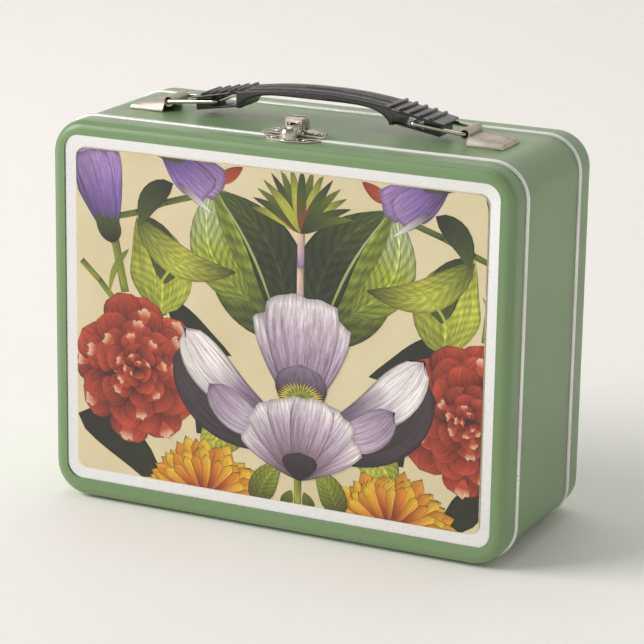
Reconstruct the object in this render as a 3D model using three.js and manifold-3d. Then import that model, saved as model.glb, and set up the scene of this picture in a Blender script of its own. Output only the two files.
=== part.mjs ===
// A sheet-metal lunch box: two shallow pressed shells on a green wall band, bare rolled beads at
// both seams, a framed picture panel in the lid, a snap hasp and a folding plastic carry handle.
// Millimetres. +X is the box's right, +Y its back, +Z up. The origin is the middle of the base.

import * as THREE from 'three';
import { mergeVertices } from 'three/addons/utils/BufferGeometryUtils.js';
import Module from 'manifold-3d';

const wasm = await Module();
wasm.setup();

// ---------------------------------------------------------------- driving dimensions

const WIDTH = 220;
const HEIGHT = 174;
const DEPTH = 92;
const CORNER = 15.5;
const SHEET = 0.5;
const GAP = 0.3;
const EDGE_ROUND = 4.5;
// How far a cutting shape runs past the piece that it cuts.
const OVERRUN = 1;

const BEAD_RADIUS = 1;
const BEAD_FLAT = 0.6;
const FRONT_BEAD_FROM_FRONT = 13.6;
const REAR_BEAD_FROM_FRONT = 75.5;

const LIP_LENGTH = 7;
const LIP_INSET = 1;

const WINDOW_SIDE = 6.6;
const WINDOW_TOP = 6.3;
const WINDOW_BOTTOM = 8.6;
const WINDOW_CORNER = 7;
const TRAY_SHEET = 0.4;
const TRAY_FLANGE = 2.5;
const TRAY_FLANGE_CORNER = 11.5;
const TRAY_BEVEL = 4.9;
const TRAY_DROP = 0.7;
const ART_SHEET = 0.4;
const ART_LIFT = 0.1;

const BACK_PANEL_INSET = 15;
const BACK_PANEL_CORNER = 8.6;
const BACK_PANEL_BEVEL = 3;
const BACK_PANEL_DROP = 1.6;

const HINGE_X = 62;
const HINGE_WIDTH = 24;
const HINGE_BARREL = 1.15;
const HINGE_BORE = 0.75;
const HINGE_PIN = 0.5;
const HINGE_LEAF = 0.45;
const BODY_LEAF_REACH = 14;
const LID_LEAF_REACH = 8.9;
const HINGE_RIVET_SPREAD = 7.5;
const HINGE_BODY_RIVET = 9.2;
const HINGE_LID_RIVET = 6.4;
const RIVET_SHANK = 0.8;
const RIVET_HOLE = 1;
const RIVET_HEAD = 1.7;
const RIVET_DOME = 0.55;
const RIVET_SLACK = 0.1;

const LATCH_X = 2.2;
const LATCH_HALF_WIDTH = 13.5;
const LATCH_PLATE = 0.6;
const LATCH_RISE = 2.2;
const NOSE_RADIUS = 3.6;
const NOSE_HEIGHT = 6.3;
const NOSE_FROM_FRONT = 10.5;
const HASP_WIDTH = 7.8;
const HASP_SHEET = 0.7;
const HASP_FRONT = 13.4;
const HASP_REAR = 21.2;
const HASP_TOP = 8.8;
const HASP_PIN_RADIUS = 0.8;
const HASP_PIN_FROM_FRONT = 19.3;
const HASP_PIN_RISE = 4.7;
const HASP_PIN_PLAY = 0.2;
const HASP_PIN_HEAD = 1.3;
const HASP_PIN_HEAD_THICK = 0.4;
const HASP_CLEAR = 0.7;
const HASP_WINDOW_TOP = 7;
const HASP_CHEEK_ROUND = 1.9;
const HASP_HOLE_RADIUS = 0.7;
const HASP_HOLE_FROM_FRONT = 16.2;
const HASP_HOLE_RISE = 6;
const PLATE_SEAT = 0.15;
const BODY_PLATE_FROM_FRONT = 12.8;
const BODY_PLATE_REACH = 13;
const BODY_PLATE_RIM = 1.2;
const SCALLOPS = 5;
const SCALLOP_DEPTH = 0.09;
const EAR_HALF = 1.6;
const LID_PLATE_FROM_FRONT = 12.3;
const LID_PLATE_REACH = 7.6;
const LATCH_RIVET_SPREAD = 9.2;
const LATCH_RIVET_FROM_FRONT = 17.6;
const LATCH_LID_RIVET_SPREAD = 7.4;
const LATCH_LID_RIVET_FROM_FRONT = 9.6;
const LIP_NOTCH_MARGIN = 3;
const LIP_NOTCH_DEPTH = 4;

const HANDLE_X = 1.2;
const HANDLE_FROM_FRONT = 44.5;
const HANDLE_WIDTH = 19.2;
const WIRE_RADIUS = 0.9;
const LINK_REACH = 24.5;
const LINK_HALF_WIDTH = 8.5;
const LINK_BEND = 1.2;
const LINK_REST_ANGLE = THREE.MathUtils.degToRad(5.7);
const KNUCKLE_X = 71.4;
const KNUCKLE_RISE = 4.8;
const KNUCKLE_RADIUS = 1.9;
const KNUCKLE_BORE = 1.2;
const KNUCKLE_LENGTH = 14.8;
const BRACKET_LENGTH = 17;
const BRACKET_WIDTH = 19.6;
const BRACKET_SHEET = 0.7;
const BRACKET_HIP = 2.3;
const BRACKET_START = 1.6;
const BRACKET_SEAT = 0.2;
const BRACKET_OUTER_HEIGHT = 2.1;
const BRACKET_CROWN = 0.6;
const BRACKET_EDGE = 0.8;
const TAB_X = 11;
const TAB_WIDTH = 6;
const TAB_FOLD = 4;

// The grip's heights are above the box's top, and its places along X are from its middle.
const GRIP_END = 61;
const GRIP_SHOULDER = 34.5;
const PLATE_TIP_TOP = 8.3;
const SHOULDER_TOP = 13.6;
const CREST = 16.2;
const ARCH_UNDERSIDE = 13;
const ARCH_LEG = 2;
const FOOT_INNER = 37.5;
const FOOT_OUTER = 59;
const FOOT_INNER_LOW = 5.6;
const FOOT_OUTER_LOW = 2.1;
const PLATE_THICK = 1.2;
const TIP_THICK = 0.9;
const FOOT_THICK = 1.1;
const SLOT_INNER = 38.6;
const SLOT_OUTER = 51.2;
const FOOT_HALF_WIDTH = 7.2;
const RIB_PITCH = 4.65;
const RIB_FIRST = 36.2;
const RIB_COUNT = 5;
const RIB_WIDE = 1.3;
const RIB_TALL = 1.8;

// ---------------------------------------------------------------- places worked out from them

const FRONT = -DEPTH / 2;
const BACK = DEPTH / 2;
const FLOOR = BEAD_RADIUS;
const TOP = FLOOR + HEIGHT;
const FRONT_BEAD_Y = FRONT + FRONT_BEAD_FROM_FRONT;
const REAR_BEAD_Y = FRONT + REAR_BEAD_FROM_FRONT;
const BEAD_HALF = BEAD_RADIUS + GAP;
const HANDLE_Y = FRONT + HANDLE_FROM_FRONT;
const HINGE_Z = HINGE_BARREL;
const HINGE_KNUCKLE = (HINGE_WIDTH - 2 * GAP) / 3;
const HINGE_BODY_RIVET_Y = FRONT_BEAD_Y + HINGE_BODY_RIVET;
const HINGE_LID_RIVET_Y = FRONT_BEAD_Y - HINGE_LID_RIVET;
const TRAY_FRONT = FRONT + SHEET + GAP;
const TRAY_FLOOR = TRAY_FRONT + TRAY_DROP;
const PLATE_LOW = TOP + PLATE_SEAT;
const BODY_PLATE_Y = FRONT + BODY_PLATE_FROM_FRONT;
const LID_PLATE_Y = FRONT + LID_PLATE_FROM_FRONT;
const LATCH_RIVET_Y = FRONT + LATCH_RIVET_FROM_FRONT;
const LATCH_LID_RIVET_Y = FRONT + LATCH_LID_RIVET_FROM_FRONT;
const NOSE_Y = FRONT + NOSE_FROM_FRONT;
const HASP_PIN_Y = FRONT + HASP_PIN_FROM_FRONT;
const HASP_PIN_Z = TOP + HASP_PIN_RISE;
const EAR_X = HASP_WIDTH / 2 - HASP_SHEET - GAP - HASP_SHEET / 2;
const TAB_Y = BRACKET_WIDTH / 2 - BRACKET_SHEET / 2;

// ---------------------------------------------------------------- finishes

const finishes = {
  green_paint: { color: 0x8ea384, roughness: 0.5, metalness: 0.1 },
  bare_tin: { color: 0xd6d6d2, roughness: 0.3, metalness: 1 },
  nickel: { color: 0xc9c4b8, roughness: 0.22, metalness: 1 },
  black_plastic: { color: 0x2b2d2c, roughness: 0.45, metalness: 0 },
  print: { color: 0xcfc4a0, roughness: 0.4, metalness: 0 },
};

// ---------------------------------------------------------------- small tools

// A closed three.js geometry as a manifold solid.
function solid(geometry) {
  const plain = geometry.clone();
  plain.deleteAttribute('normal');
  plain.deleteAttribute('uv');
  const merged = mergeVertices(plain.index ? plain.toNonIndexed() : plain, 1e-5);
  const mesh = new wasm.Mesh({
    numProp: 3,
    vertProperties: new Float32Array(merged.attributes.position.array),
    triVerts: new Uint32Array(merged.index.array),
  });
  mesh.merge();
  return new wasm.Manifold(mesh);
}

// A manifold solid as a three.js geometry.
function geometryOf(shape) {
  const mesh = shape.getMesh();
  const geometry = new THREE.BufferGeometry();
  const points = [];
  for (let i = 0; i < mesh.numVert; i += 1) {
    const at = i * mesh.numProp;
    points.push(mesh.vertProperties[at], mesh.vertProperties[at + 1], mesh.vertProperties[at + 2]);
  }
  geometry.setAttribute('position', new THREE.Float32BufferAttribute(points, 3));
  geometry.setIndex(Array.from(mesh.triVerts));
  geometry.computeVertexNormals();
  return geometry;
}

// A rectangle with round corners, seen from the front, from its side, floor and top lines.
function frontOutline(halfWidth, low, high, corner) {
  const outline = new THREE.Shape();
  const x = halfWidth - corner;
  const bottom = low + corner;
  const top = high - corner;
  outline.absarc(x, bottom, corner, -Math.PI / 2, 0, false);
  outline.absarc(x, top, corner, 0, Math.PI / 2, false);
  outline.absarc(-x, top, corner, Math.PI / 2, Math.PI, false);
  outline.absarc(-x, bottom, corner, Math.PI, Math.PI * 1.5, false);
  return outline;
}

// The box's own outline, moved inwards by an inset.
function boxOutline(inset) {
  return frontOutline(WIDTH / 2 - inset, FLOOR + inset, TOP - inset, CORNER - inset);
}

// An outline drawn in X and Z, made solid between two places along Y.
// A bevel widens it by bevelSize over bevelDepth at both ends.
function alongY(outline, yFront, yRear, bevelSize = 0, bevelDepth = 0, steps = 1, curve = 7) {
  const geometry = new THREE.ExtrudeGeometry(outline, {
    depth: yRear - yFront - 2 * bevelDepth,
    steps: 1,
    curveSegments: curve,
    bevelEnabled: bevelDepth > 0,
    bevelSize,
    bevelThickness: bevelDepth,
    bevelSegments: steps,
  });
  geometry.rotateX(Math.PI / 2);
  geometry.translate(0, yRear - bevelDepth, 0);
  return solid(geometry);
}

// An outline drawn in X and Y, made solid between two heights.
function alongZ(outline, zLow, zHigh, curve = 8) {
  const options = { depth: zHigh - zLow, steps: 1, curveSegments: curve, bevelEnabled: false };
  const geometry = new THREE.ExtrudeGeometry(outline, options);
  geometry.translate(0, 0, zLow);
  return solid(geometry);
}

// A block from its low and high corners.
function block(x0, y0, z0, x1, y1, z1) {
  const geometry = new THREE.BoxGeometry(x1 - x0, y1 - y0, z1 - z0);
  geometry.translate((x0 + x1) / 2, (y0 + y1) / 2, (z0 + z1) / 2);
  return solid(geometry);
}

// A round bar along an axis, centred on a point.
function bar(axis, x, y, z, radius, length, sides = 12) {
  const geometry = new THREE.CylinderGeometry(radius, radius, length, sides);
  if (axis === 'x') geometry.rotateZ(Math.PI / 2);
  if (axis === 'z') geometry.rotateX(Math.PI / 2);
  geometry.translate(x, y, z);
  return solid(geometry);
}

const lunchBox = new THREE.Group();

// Adds one finished piece to a group under its own name.
function addPiece(name, shape, finish, group = lunchBox) {
  const material = new THREE.MeshStandardMaterial(finishes[finish]);
  const mesh = new THREE.Mesh(geometryOf(shape), material);
  mesh.name = name;
  group.add(mesh);
  return mesh;
}

// ---------------------------------------------------------------- pressed shells and wall band

// A pressed dish with a rounded front edge, opening towards the back, before its face is cut.
function dish(frontY, rearY, inset) {
  const round = EDGE_ROUND - inset;
  const outline = boxOutline(inset + round);
  const long = alongY(outline, frontY, rearY + 2 * EDGE_ROUND, round, round, 3);
  const past = block(-WIDTH, rearY, -HEIGHT, WIDTH, rearY + WIDTH, HEIGHT * 2);
  return long.subtract(past);
}

function makeLidShell() {
  const rearY = FRONT_BEAD_Y - BEAD_HALF;
  const outer = dish(FRONT, rearY, 0);
  const inner = dish(FRONT + SHEET, rearY + OVERRUN, SHEET);
  const low = FLOOR + WINDOW_BOTTOM;
  const high = TOP - WINDOW_TOP;
  const opening = frontOutline(WIDTH / 2 - WINDOW_SIDE, low, high, WINDOW_CORNER);
  const window = alongY(opening, FRONT - OVERRUN, FRONT + 2 * SHEET);
  let lid = outer.subtract(inner).subtract(window);
  for (const side of [-1, 1]) {
    for (const hinge of [-1, 1]) {
      lid = lid.subtract(hole(hinge * HINGE_X + side * HINGE_RIVET_SPREAD, HINGE_LID_RIVET_Y, FLOOR));
    }
    lid = lid.subtract(hole(LATCH_X + side * LATCH_LID_RIVET_SPREAD, LATCH_LID_RIVET_Y, TOP));
  }
  return lid;
}

function makeRearShell() {
  const frontY = REAR_BEAD_Y + BEAD_HALF;
  const inset = BACK_PANEL_INSET;
  const corner = BACK_PANEL_CORNER;
  // The same dish as the lid's, turned to open forwards.
  const flip = (shape) => shape.mirror([0, 1, 0]);
  const outer = flip(dish(-BACK, -frontY, 0));
  const inner = flip(dish(-BACK + SHEET, -frontY + OVERRUN, SHEET));
  const panel = (grow, yFront, yRear) => {
    const reach = BACK_PANEL_BEVEL;
    const half = WIDTH / 2 - inset - reach + grow;
    const low = FLOOR + inset + reach - grow;
    const high = TOP - inset - reach + grow;
    const outline = frontOutline(half, low, high, corner);
    return alongY(outline, yFront, yRear, reach, BACK_PANEL_DROP);
  };
  const behind = BACK + BACK_PANEL_DROP * 2;
  const cut = panel(0, BACK - BACK_PANEL_DROP, behind);
  const keep = panel(SHEET, BACK - BACK_PANEL_DROP - SHEET, behind);
  return outer.subtract(cut).subtract(inner.subtract(keep));
}

function makeBodyBand() {
  const frontY = FRONT_BEAD_Y + BEAD_HALF;
  const rearY = REAR_BEAD_Y - BEAD_HALF;
  const lipIn = LIP_INSET + SHEET;
  const lipFront = FRONT_BEAD_Y - BEAD_HALF - LIP_LENGTH;
  const lipRear = REAR_BEAD_Y + BEAD_HALF + LIP_LENGTH;
  const wall = alongY(boxOutline(0), frontY, rearY);
  const lips = alongY(boxOutline(LIP_INSET), lipFront, lipRear);
  const throat = alongY(boxOutline(lipIn), lipFront - OVERRUN, lipRear + OVERRUN);
  const inside = alongY(boxOutline(SHEET), frontY + SHEET, rearY - SHEET);
  let band = wall.add(lips).subtract(throat.add(inside));
  // The front lip is notched at the top, where the lid's latch rivets come past it.
  const reach = LATCH_LID_RIVET_SPREAD + LIP_NOTCH_MARGIN;
  const lipBack = LATCH_LID_RIVET_Y + LIP_NOTCH_MARGIN;
  const lipLow = TOP - LIP_NOTCH_DEPTH;
  const ahead = lipFront - OVERRUN;
  const notch = block(LATCH_X - reach, ahead, lipLow, LATCH_X + reach, lipBack, TOP - SHEET);
  band = band.subtract(notch);
  const halfHinge = HINGE_WIDTH / 2 + 2 * GAP;
  for (const side of [-1, 1]) {
    const x = side * HINGE_X;
    // The lip and its step are notched where a hinge passes through.
    const z = FLOOR + SHEET + GAP / 2;
    const high = z + LIP_NOTCH_DEPTH;
    const past = frontY + OVERRUN;
    band = band.subtract(block(x - halfHinge, ahead, z, x + halfHinge, past, high));
    for (const rivet of [-1, 1]) {
      const place = x + rivet * HINGE_RIVET_SPREAD;
      band = band.subtract(hole(place, HINGE_BODY_RIVET_Y, FLOOR));
      const latch = LATCH_X + rivet * LATCH_RIVET_SPREAD;
      band = band.subtract(hole(latch, LATCH_RIVET_Y, TOP));
      const slotY = HANDLE_Y + rivet * TAB_Y;
      const slotX = side * (KNUCKLE_X + TAB_X);
      const wide = TAB_WIDTH / 2 + GAP;
      const thick = BRACKET_SHEET / 2 + GAP;
      const low = TOP - SHEET - OVERRUN;
      const top = TOP + OVERRUN;
      const slot = block(slotX - wide, slotY - thick, low, slotX + wide, slotY + thick, top);
      band = band.subtract(slot);
    }
  }
  return band;
}

// ---------------------------------------------------------------- rivets

// A rivet's hole, cut right through the sheets that lie around one height.
function hole(x, y, z) {
  return bar('z', x, y, z, RIVET_HOLE, 8 * OVERRUN);
}

// A rivet along Z through a stack of sheets: shank, outer dome and inner upset head.
function rivet(x, y, zLow, zHigh) {
  const low = zLow - RIVET_SLACK;
  const high = zHigh + RIVET_SLACK;
  const profile = [
    new THREE.Vector2(0, low - RIVET_DOME),
    new THREE.Vector2(RIVET_HEAD * 0.7, low - RIVET_DOME * 0.75),
    new THREE.Vector2(RIVET_HEAD, low),
    new THREE.Vector2(RIVET_SHANK, low),
    new THREE.Vector2(RIVET_SHANK, high),
    new THREE.Vector2(RIVET_HEAD * 0.9, high),
    new THREE.Vector2(RIVET_HEAD * 0.7, high + RIVET_DOME * 0.7),
    new THREE.Vector2(0, high + RIVET_DOME * 0.9),
  ];
  const geometry = new THREE.LatheGeometry(profile, 10);
  geometry.rotateX(Math.PI / 2);
  geometry.translate(x, y, 0);
  return solid(geometry);
}

// ---------------------------------------------------------------- beads

function makeBeadRing(y) {
  const flat = BEAD_FLAT / 2;
  const reach = BEAD_RADIUS - flat;
  const outer = alongY(boxOutline(0), y - flat - reach, y + flat + reach, BEAD_RADIUS, reach, 2);
  const past = BEAD_RADIUS + OVERRUN;
  const inner = alongY(boxOutline(LIP_INSET - GAP), y - past, y + past);
  return outer.subtract(inner);
}

function makeFrontBeads() {
  const ring = makeBeadRing(FRONT_BEAD_Y);
  const half = HINGE_WIDTH / 2 + GAP;
  const reach = HINGE_X + half;
  const middle = HINGE_X - half;
  // The hinges break the ring's bottom run, so the middle of it is a piece of its own.
  const run = (x) => block(-x, FRONT, FLOOR - 2 * BEAD_RADIUS, x, BACK, FLOOR + CORNER / 2);
  return {
    round: ring.subtract(run(reach)),
    bottom: ring.intersect(run(middle)),
  };
}

// ---------------------------------------------------------------- picture tray and panel

// The tray's dished face: an outline at the window, drawn in by the bevel at the floor.
function trayHollow(grow, floorY) {
  const inset = TRAY_BEVEL - grow;
  const half = WIDTH / 2 - WINDOW_SIDE - inset;
  const low = FLOOR + WINDOW_BOTTOM + inset;
  const high = TOP - WINDOW_TOP - inset;
  const corner = WINDOW_CORNER - TRAY_BEVEL / 2 + grow;
  const outline = frontOutline(half, low, high, corner);
  return alongY(outline, floorY - 4 * TRAY_DROP, floorY, TRAY_BEVEL, TRAY_DROP);
}

function makePictureTray() {
  const half = WIDTH / 2 - WINDOW_SIDE + TRAY_FLANGE;
  const low = FLOOR + WINDOW_BOTTOM - TRAY_FLANGE;
  const high = TOP - WINDOW_TOP + TRAY_FLANGE;
  const flangeOutline = frontOutline(half, low, high, TRAY_FLANGE_CORNER);
  const flange = alongY(flangeOutline, TRAY_FRONT, TRAY_FRONT + TRAY_SHEET);
  const ahead = block(-WIDTH, FRONT - WIDTH, -HEIGHT, WIDTH, TRAY_FRONT, HEIGHT * 2);
  const pan = trayHollow(TRAY_SHEET, TRAY_FLOOR + TRAY_SHEET).subtract(ahead);
  return flange.add(pan).subtract(trayHollow(0, TRAY_FLOOR));
}

function makeArtPanel() {
  const inset = TRAY_BEVEL + GAP;
  const half = WIDTH / 2 - WINDOW_SIDE - inset;
  const low = FLOOR + WINDOW_BOTTOM + inset;
  const high = TOP - WINDOW_TOP - inset;
  const outline = frontOutline(half, low, high, WINDOW_CORNER - TRAY_BEVEL / 2);
  return alongY(outline, TRAY_FLOOR - ART_LIFT - ART_SHEET, TRAY_FLOOR - ART_LIFT);
}

// ---------------------------------------------------------------- hinges

function hingeBore(x) {
  return bar('x', x, FRONT_BEAD_Y, HINGE_Z, HINGE_BORE, HINGE_KNUCKLE + 2 * OVERRUN);
}

function barrelTube(x) {
  const tube = bar('x', x, FRONT_BEAD_Y, HINGE_Z, HINGE_BARREL, HINGE_KNUCKLE);
  return tube.subtract(hingeBore(x));
}

// One leaf: a flat plate inside the box, tongues that wrap into its knuckles, and rivet holes.
function hingeLeaf(x, toBack, knuckles, reach, rivetY) {
  const top = HINGE_Z + HINGE_BARREL;
  const low = top - HINGE_LEAF;
  const near = toBack * (BEAD_HALF + GAP);
  const far = toBack * reach;
  const y0 = FRONT_BEAD_Y + Math.min(near, far);
  const y1 = FRONT_BEAD_Y + Math.max(near, far);
  let leaf = block(x - HINGE_WIDTH / 2, y0, low, x + HINGE_WIDTH / 2, y1, top);
  for (const offset of knuckles) {
    const at = x + offset * (HINGE_KNUCKLE + GAP);
    const half = HINGE_KNUCKLE / 2;
    const root = toBack * GAP;
    const tongueA = FRONT_BEAD_Y + Math.min(root, near + root);
    const tongueB = FRONT_BEAD_Y + Math.max(root, near + root);
    const tongue = block(at - half, tongueA, low, at + half, tongueB, top);
    leaf = leaf.add(tongue.subtract(hingeBore(at))).add(barrelTube(at));
  }
  for (const side of [-1, 1]) {
    leaf = leaf.subtract(hole(x + side * HINGE_RIVET_SPREAD, rivetY, low));
  }
  return leaf;
}

// ---------------------------------------------------------------- latch

// Half of the latch's oval: a plate whose straight edge lies along the seam.
function latchOutline(seam, reach, halfWidth, lobes, depth) {
  const outline = new THREE.Shape();
  const steps = lobes * 4;
  for (let i = 0; i <= steps; i += 1) {
    const turn = (Math.PI * i) / steps;
    const scallop = 1 - depth * Math.abs(Math.sin(turn * lobes));
    const x = LATCH_X + halfWidth * scallop * Math.cos(turn);
    const y = seam + reach * scallop * Math.sin(turn) ** 0.8;
    if (i === 0) outline.moveTo(x, y);
    else outline.lineTo(x, y);
  }
  return outline;
}

// The hole for the hasp's pin, through anything that lies along it.
function haspPinHole() {
  const radius = HASP_PIN_RADIUS + HASP_PIN_PLAY;
  return bar('x', LATCH_X, HASP_PIN_Y, HASP_PIN_Z, radius, 3 * HASP_WIDTH);
}

function makeLatchBodyPlate() {
  const rise = TOP + LATCH_RISE;
  const scalloped = (y, reach, halfWidth) =>
    latchOutline(y, reach, halfWidth, SCALLOPS, SCALLOP_DEPTH);
  const outline = scalloped(BODY_PLATE_Y, BODY_PLATE_REACH, LATCH_HALF_WIDTH);
  let plate = alongZ(outline, PLATE_LOW, rise);
  // Underneath it is hollow, and it steps over the bead.
  const halfInside = LATCH_HALF_WIDTH - BODY_PLATE_RIM;
  const inner = scalloped(BODY_PLATE_Y - OVERRUN, BODY_PLATE_REACH, halfInside);
  plate = plate.subtract(alongZ(inner, TOP - OVERRUN, rise - LATCH_PLATE));
  const beadTop = TOP + BEAD_RADIUS + GAP;
  const beadBack = FRONT_BEAD_Y + BEAD_HALF;
  plate = plate.subtract(block(-WIDTH, FRONT, TOP - OVERRUN, WIDTH, beadBack, beadTop));
  plate = plate.subtract(bar('z', LATCH_X, NOSE_Y, TOP, NOSE_RADIUS + 2 * GAP, NOSE_HEIGHT, 20));
  // Two ears carry the hasp's pin.
  const earLow = rise - LATCH_PLATE / 2;
  const near = HASP_PIN_Y - EAR_HALF;
  const far = HASP_PIN_Y + EAR_HALF;
  for (const side of [-1, 1]) {
    const x = LATCH_X + side * EAR_X;
    const half = HASP_SHEET / 2;
    plate = plate.add(block(x - half, near, earLow, x + half, far, HASP_PIN_Z));
    plate = plate.add(bar('x', x, HASP_PIN_Y, HASP_PIN_Z, EAR_HALF, HASP_SHEET));
    plate = plate.subtract(hole(LATCH_X + side * LATCH_RIVET_SPREAD, LATCH_RIVET_Y, TOP));
  }
  return plate.subtract(haspPinHole());
}

function makeLatchLidPlate() {
  const outline = latchOutline(0, LID_PLATE_REACH, LATCH_HALF_WIDTH, 1, 0);
  let plate = alongZ(outline, PLATE_LOW, PLATE_LOW + LATCH_PLATE).mirror([0, 1, 0]);
  plate = plate.translate(0, LID_PLATE_Y, 0);
  // The nose is drawn up from the plate: a short post with a rounded crown.
  const bend = NOSE_RADIUS * 0.55;
  const crown = TOP + NOSE_HEIGHT;
  const profile = [
    new THREE.Vector2(0, PLATE_LOW),
    new THREE.Vector2(NOSE_RADIUS, PLATE_LOW),
    new THREE.Vector2(NOSE_RADIUS, crown - bend),
    new THREE.Vector2(NOSE_RADIUS * 0.84, crown - bend * 0.4),
    new THREE.Vector2(NOSE_RADIUS * 0.45, crown - bend * 0.08),
    new THREE.Vector2(0, crown),
  ];
  const nose = new THREE.LatheGeometry(profile, 20);
  nose.rotateX(Math.PI / 2);
  nose.translate(LATCH_X, NOSE_Y, 0);
  plate = plate.add(solid(nose));
  // The back of the nose reaches over the bead without touching it.
  const overBead = TOP + BEAD_RADIUS + GAP;
  const beadBack = FRONT_BEAD_Y + BEAD_HALF;
  plate = plate.subtract(block(-WIDTH, LID_PLATE_Y, TOP - OVERRUN, WIDTH, beadBack, overBead));
  for (const side of [-1, 1]) {
    const x = LATCH_X + side * LATCH_LID_RIVET_SPREAD;
    plate = plate.subtract(hole(x, LATCH_LID_RIVET_Y, TOP));
  }
  return plate;
}

function makeHasp() {
  const half = HASP_WIDTH / 2;
  const front = FRONT + HASP_FRONT;
  const rear = FRONT + HASP_REAR;
  const low = TOP + LATCH_RISE + HASP_CLEAR;
  const top = TOP + HASP_TOP;
  const left = LATCH_X - half;
  const right = LATCH_X + half;
  let hasp = block(left, front, low, right, rear, top);
  // Hollow, and open at the back and underneath.
  const inLeft = left + HASP_SHEET;
  const inRight = right - HASP_SHEET;
  const inFront = front + HASP_SHEET;
  const under = low - OVERRUN;
  const behind = rear + OVERRUN;
  hasp = hasp.subtract(block(inLeft, inFront, under, inRight, behind, top - HASP_SHEET));
  // The window that drops over the nose.
  const ahead = front - OVERRUN;
  hasp = hasp.subtract(block(inLeft, ahead, under, inRight, inFront, TOP + HASP_WINDOW_TOP));
  // The cheeks are rounded behind the pin.
  const square = block(left - OVERRUN, HASP_PIN_Y, under, right + OVERRUN, behind, HASP_PIN_Z);
  const acrossAll = 2 * HASP_WIDTH;
  const round = bar('x', LATCH_X, HASP_PIN_Y, HASP_PIN_Z, HASP_CHEEK_ROUND, acrossAll, 20);
  hasp = hasp.subtract(square.subtract(round));
  const holeY = FRONT + HASP_HOLE_FROM_FRONT;
  const holeZ = TOP + HASP_HOLE_RISE;
  hasp = hasp.subtract(bar('x', LATCH_X, holeY, holeZ, HASP_HOLE_RADIUS, acrossAll));
  return hasp.subtract(haspPinHole());
}

function makeHaspPin() {
  const halfLength = HASP_WIDTH / 2 + HASP_PIN_PLAY + HASP_PIN_HEAD_THICK / 2;
  let pin = bar('x', LATCH_X, HASP_PIN_Y, HASP_PIN_Z, HASP_PIN_RADIUS, 2 * halfLength);
  for (const side of [-1, 1]) {
    const head = LATCH_X + side * halfLength;
    pin = pin.add(bar('x', head, HASP_PIN_Y, HASP_PIN_Z, HASP_PIN_HEAD, HASP_PIN_HEAD_THICK));
  }
  return pin;
}

// ---------------------------------------------------------------- handle brackets and links

// The bracket's outside, or its inside when shrunk: a wedge with its long edges hipped.
function bracketWedge(shrink, low) {
  const inner = KNUCKLE_RISE - KNUCKLE_RADIUS + BRACKET_SHEET + BRACKET_CROWN - shrink;
  const outer = BRACKET_OUTER_HEIGHT - shrink;
  const x0 = BRACKET_START - shrink * 3;
  const x1 = BRACKET_START + BRACKET_LENGTH - shrink;
  const half = BRACKET_WIDTH / 2 - shrink;
  const side = new THREE.Shape();
  side.moveTo(x0, low);
  side.lineTo(x1, low);
  side.lineTo(x1 - BRACKET_HIP * 0.4, outer);
  side.lineTo(x0, inner);
  side.closePath();
  let wedge = alongY(side, -half, half);
  const above = inner + 2 * OVERRUN;
  for (const edge of [-1, 1]) {
    const hip = new THREE.Shape();
    hip.moveTo(edge * (half + OVERRUN), -2 * OVERRUN);
    hip.lineTo(edge * (half + OVERRUN), above);
    hip.lineTo(edge * (half - BRACKET_HIP * 1.2), above);
    hip.lineTo(edge * (half - BRACKET_HIP), inner);
    hip.lineTo(edge * half, low + BRACKET_EDGE);
    hip.lineTo(edge * half, -2 * OVERRUN);
    hip.closePath();
    const cutter = alongY(hip, -BRACKET_LENGTH * 2, BRACKET_LENGTH * 2);
    wedge = wedge.subtract(cutter.rotate([0, 0, 90]));
  }
  return wedge;
}

// A bracket for the right-hand side, with its knuckle's axis at x = 0 and the box's top at z = 0.
function makeBracket() {
  const inside = bracketWedge(BRACKET_SHEET, BRACKET_SEAT - OVERRUN);
  let bracket = bracketWedge(0, BRACKET_SEAT).subtract(inside);
  const tube = bar('y', 0, 0, KNUCKLE_RISE, KNUCKLE_RADIUS, KNUCKLE_LENGTH, 16);
  const tongueTop = KNUCKLE_RISE - KNUCKLE_BORE;
  const tongueLow = KNUCKLE_RISE - KNUCKLE_RADIUS;
  const half = KNUCKLE_LENGTH / 2;
  const tongue = block(0, -half, tongueLow, BRACKET_START + BRACKET_HIP, half, tongueTop);
  bracket = bracket.add(tube).add(tongue);
  const bore = bar('y', 0, 0, KNUCKLE_RISE, KNUCKLE_BORE, KNUCKLE_LENGTH + 2 * OVERRUN, 16);
  bracket = bracket.subtract(bore);
  // Two tabs pass through the wall band and are folded flat inside.
  const under = -SHEET - GAP;
  const x0 = TAB_X - TAB_WIDTH / 2;
  const x1 = TAB_X + TAB_WIDTH / 2;
  const thick = BRACKET_SHEET / 2;
  for (const edge of [-1, 1]) {
    const y = edge * TAB_Y;
    bracket = bracket.add(block(x0, y - thick, under, x1, y + thick, BRACKET_EDGE + SHEET / 4));
    const folded = y - edge * TAB_FOLD;
    const near = Math.min(y + edge * thick, folded);
    const far = Math.max(y + edge * thick, folded);
    bracket = bracket.add(block(x0, near, under - BRACKET_SHEET, x1, far, under));
  }
  return bracket;
}

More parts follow.
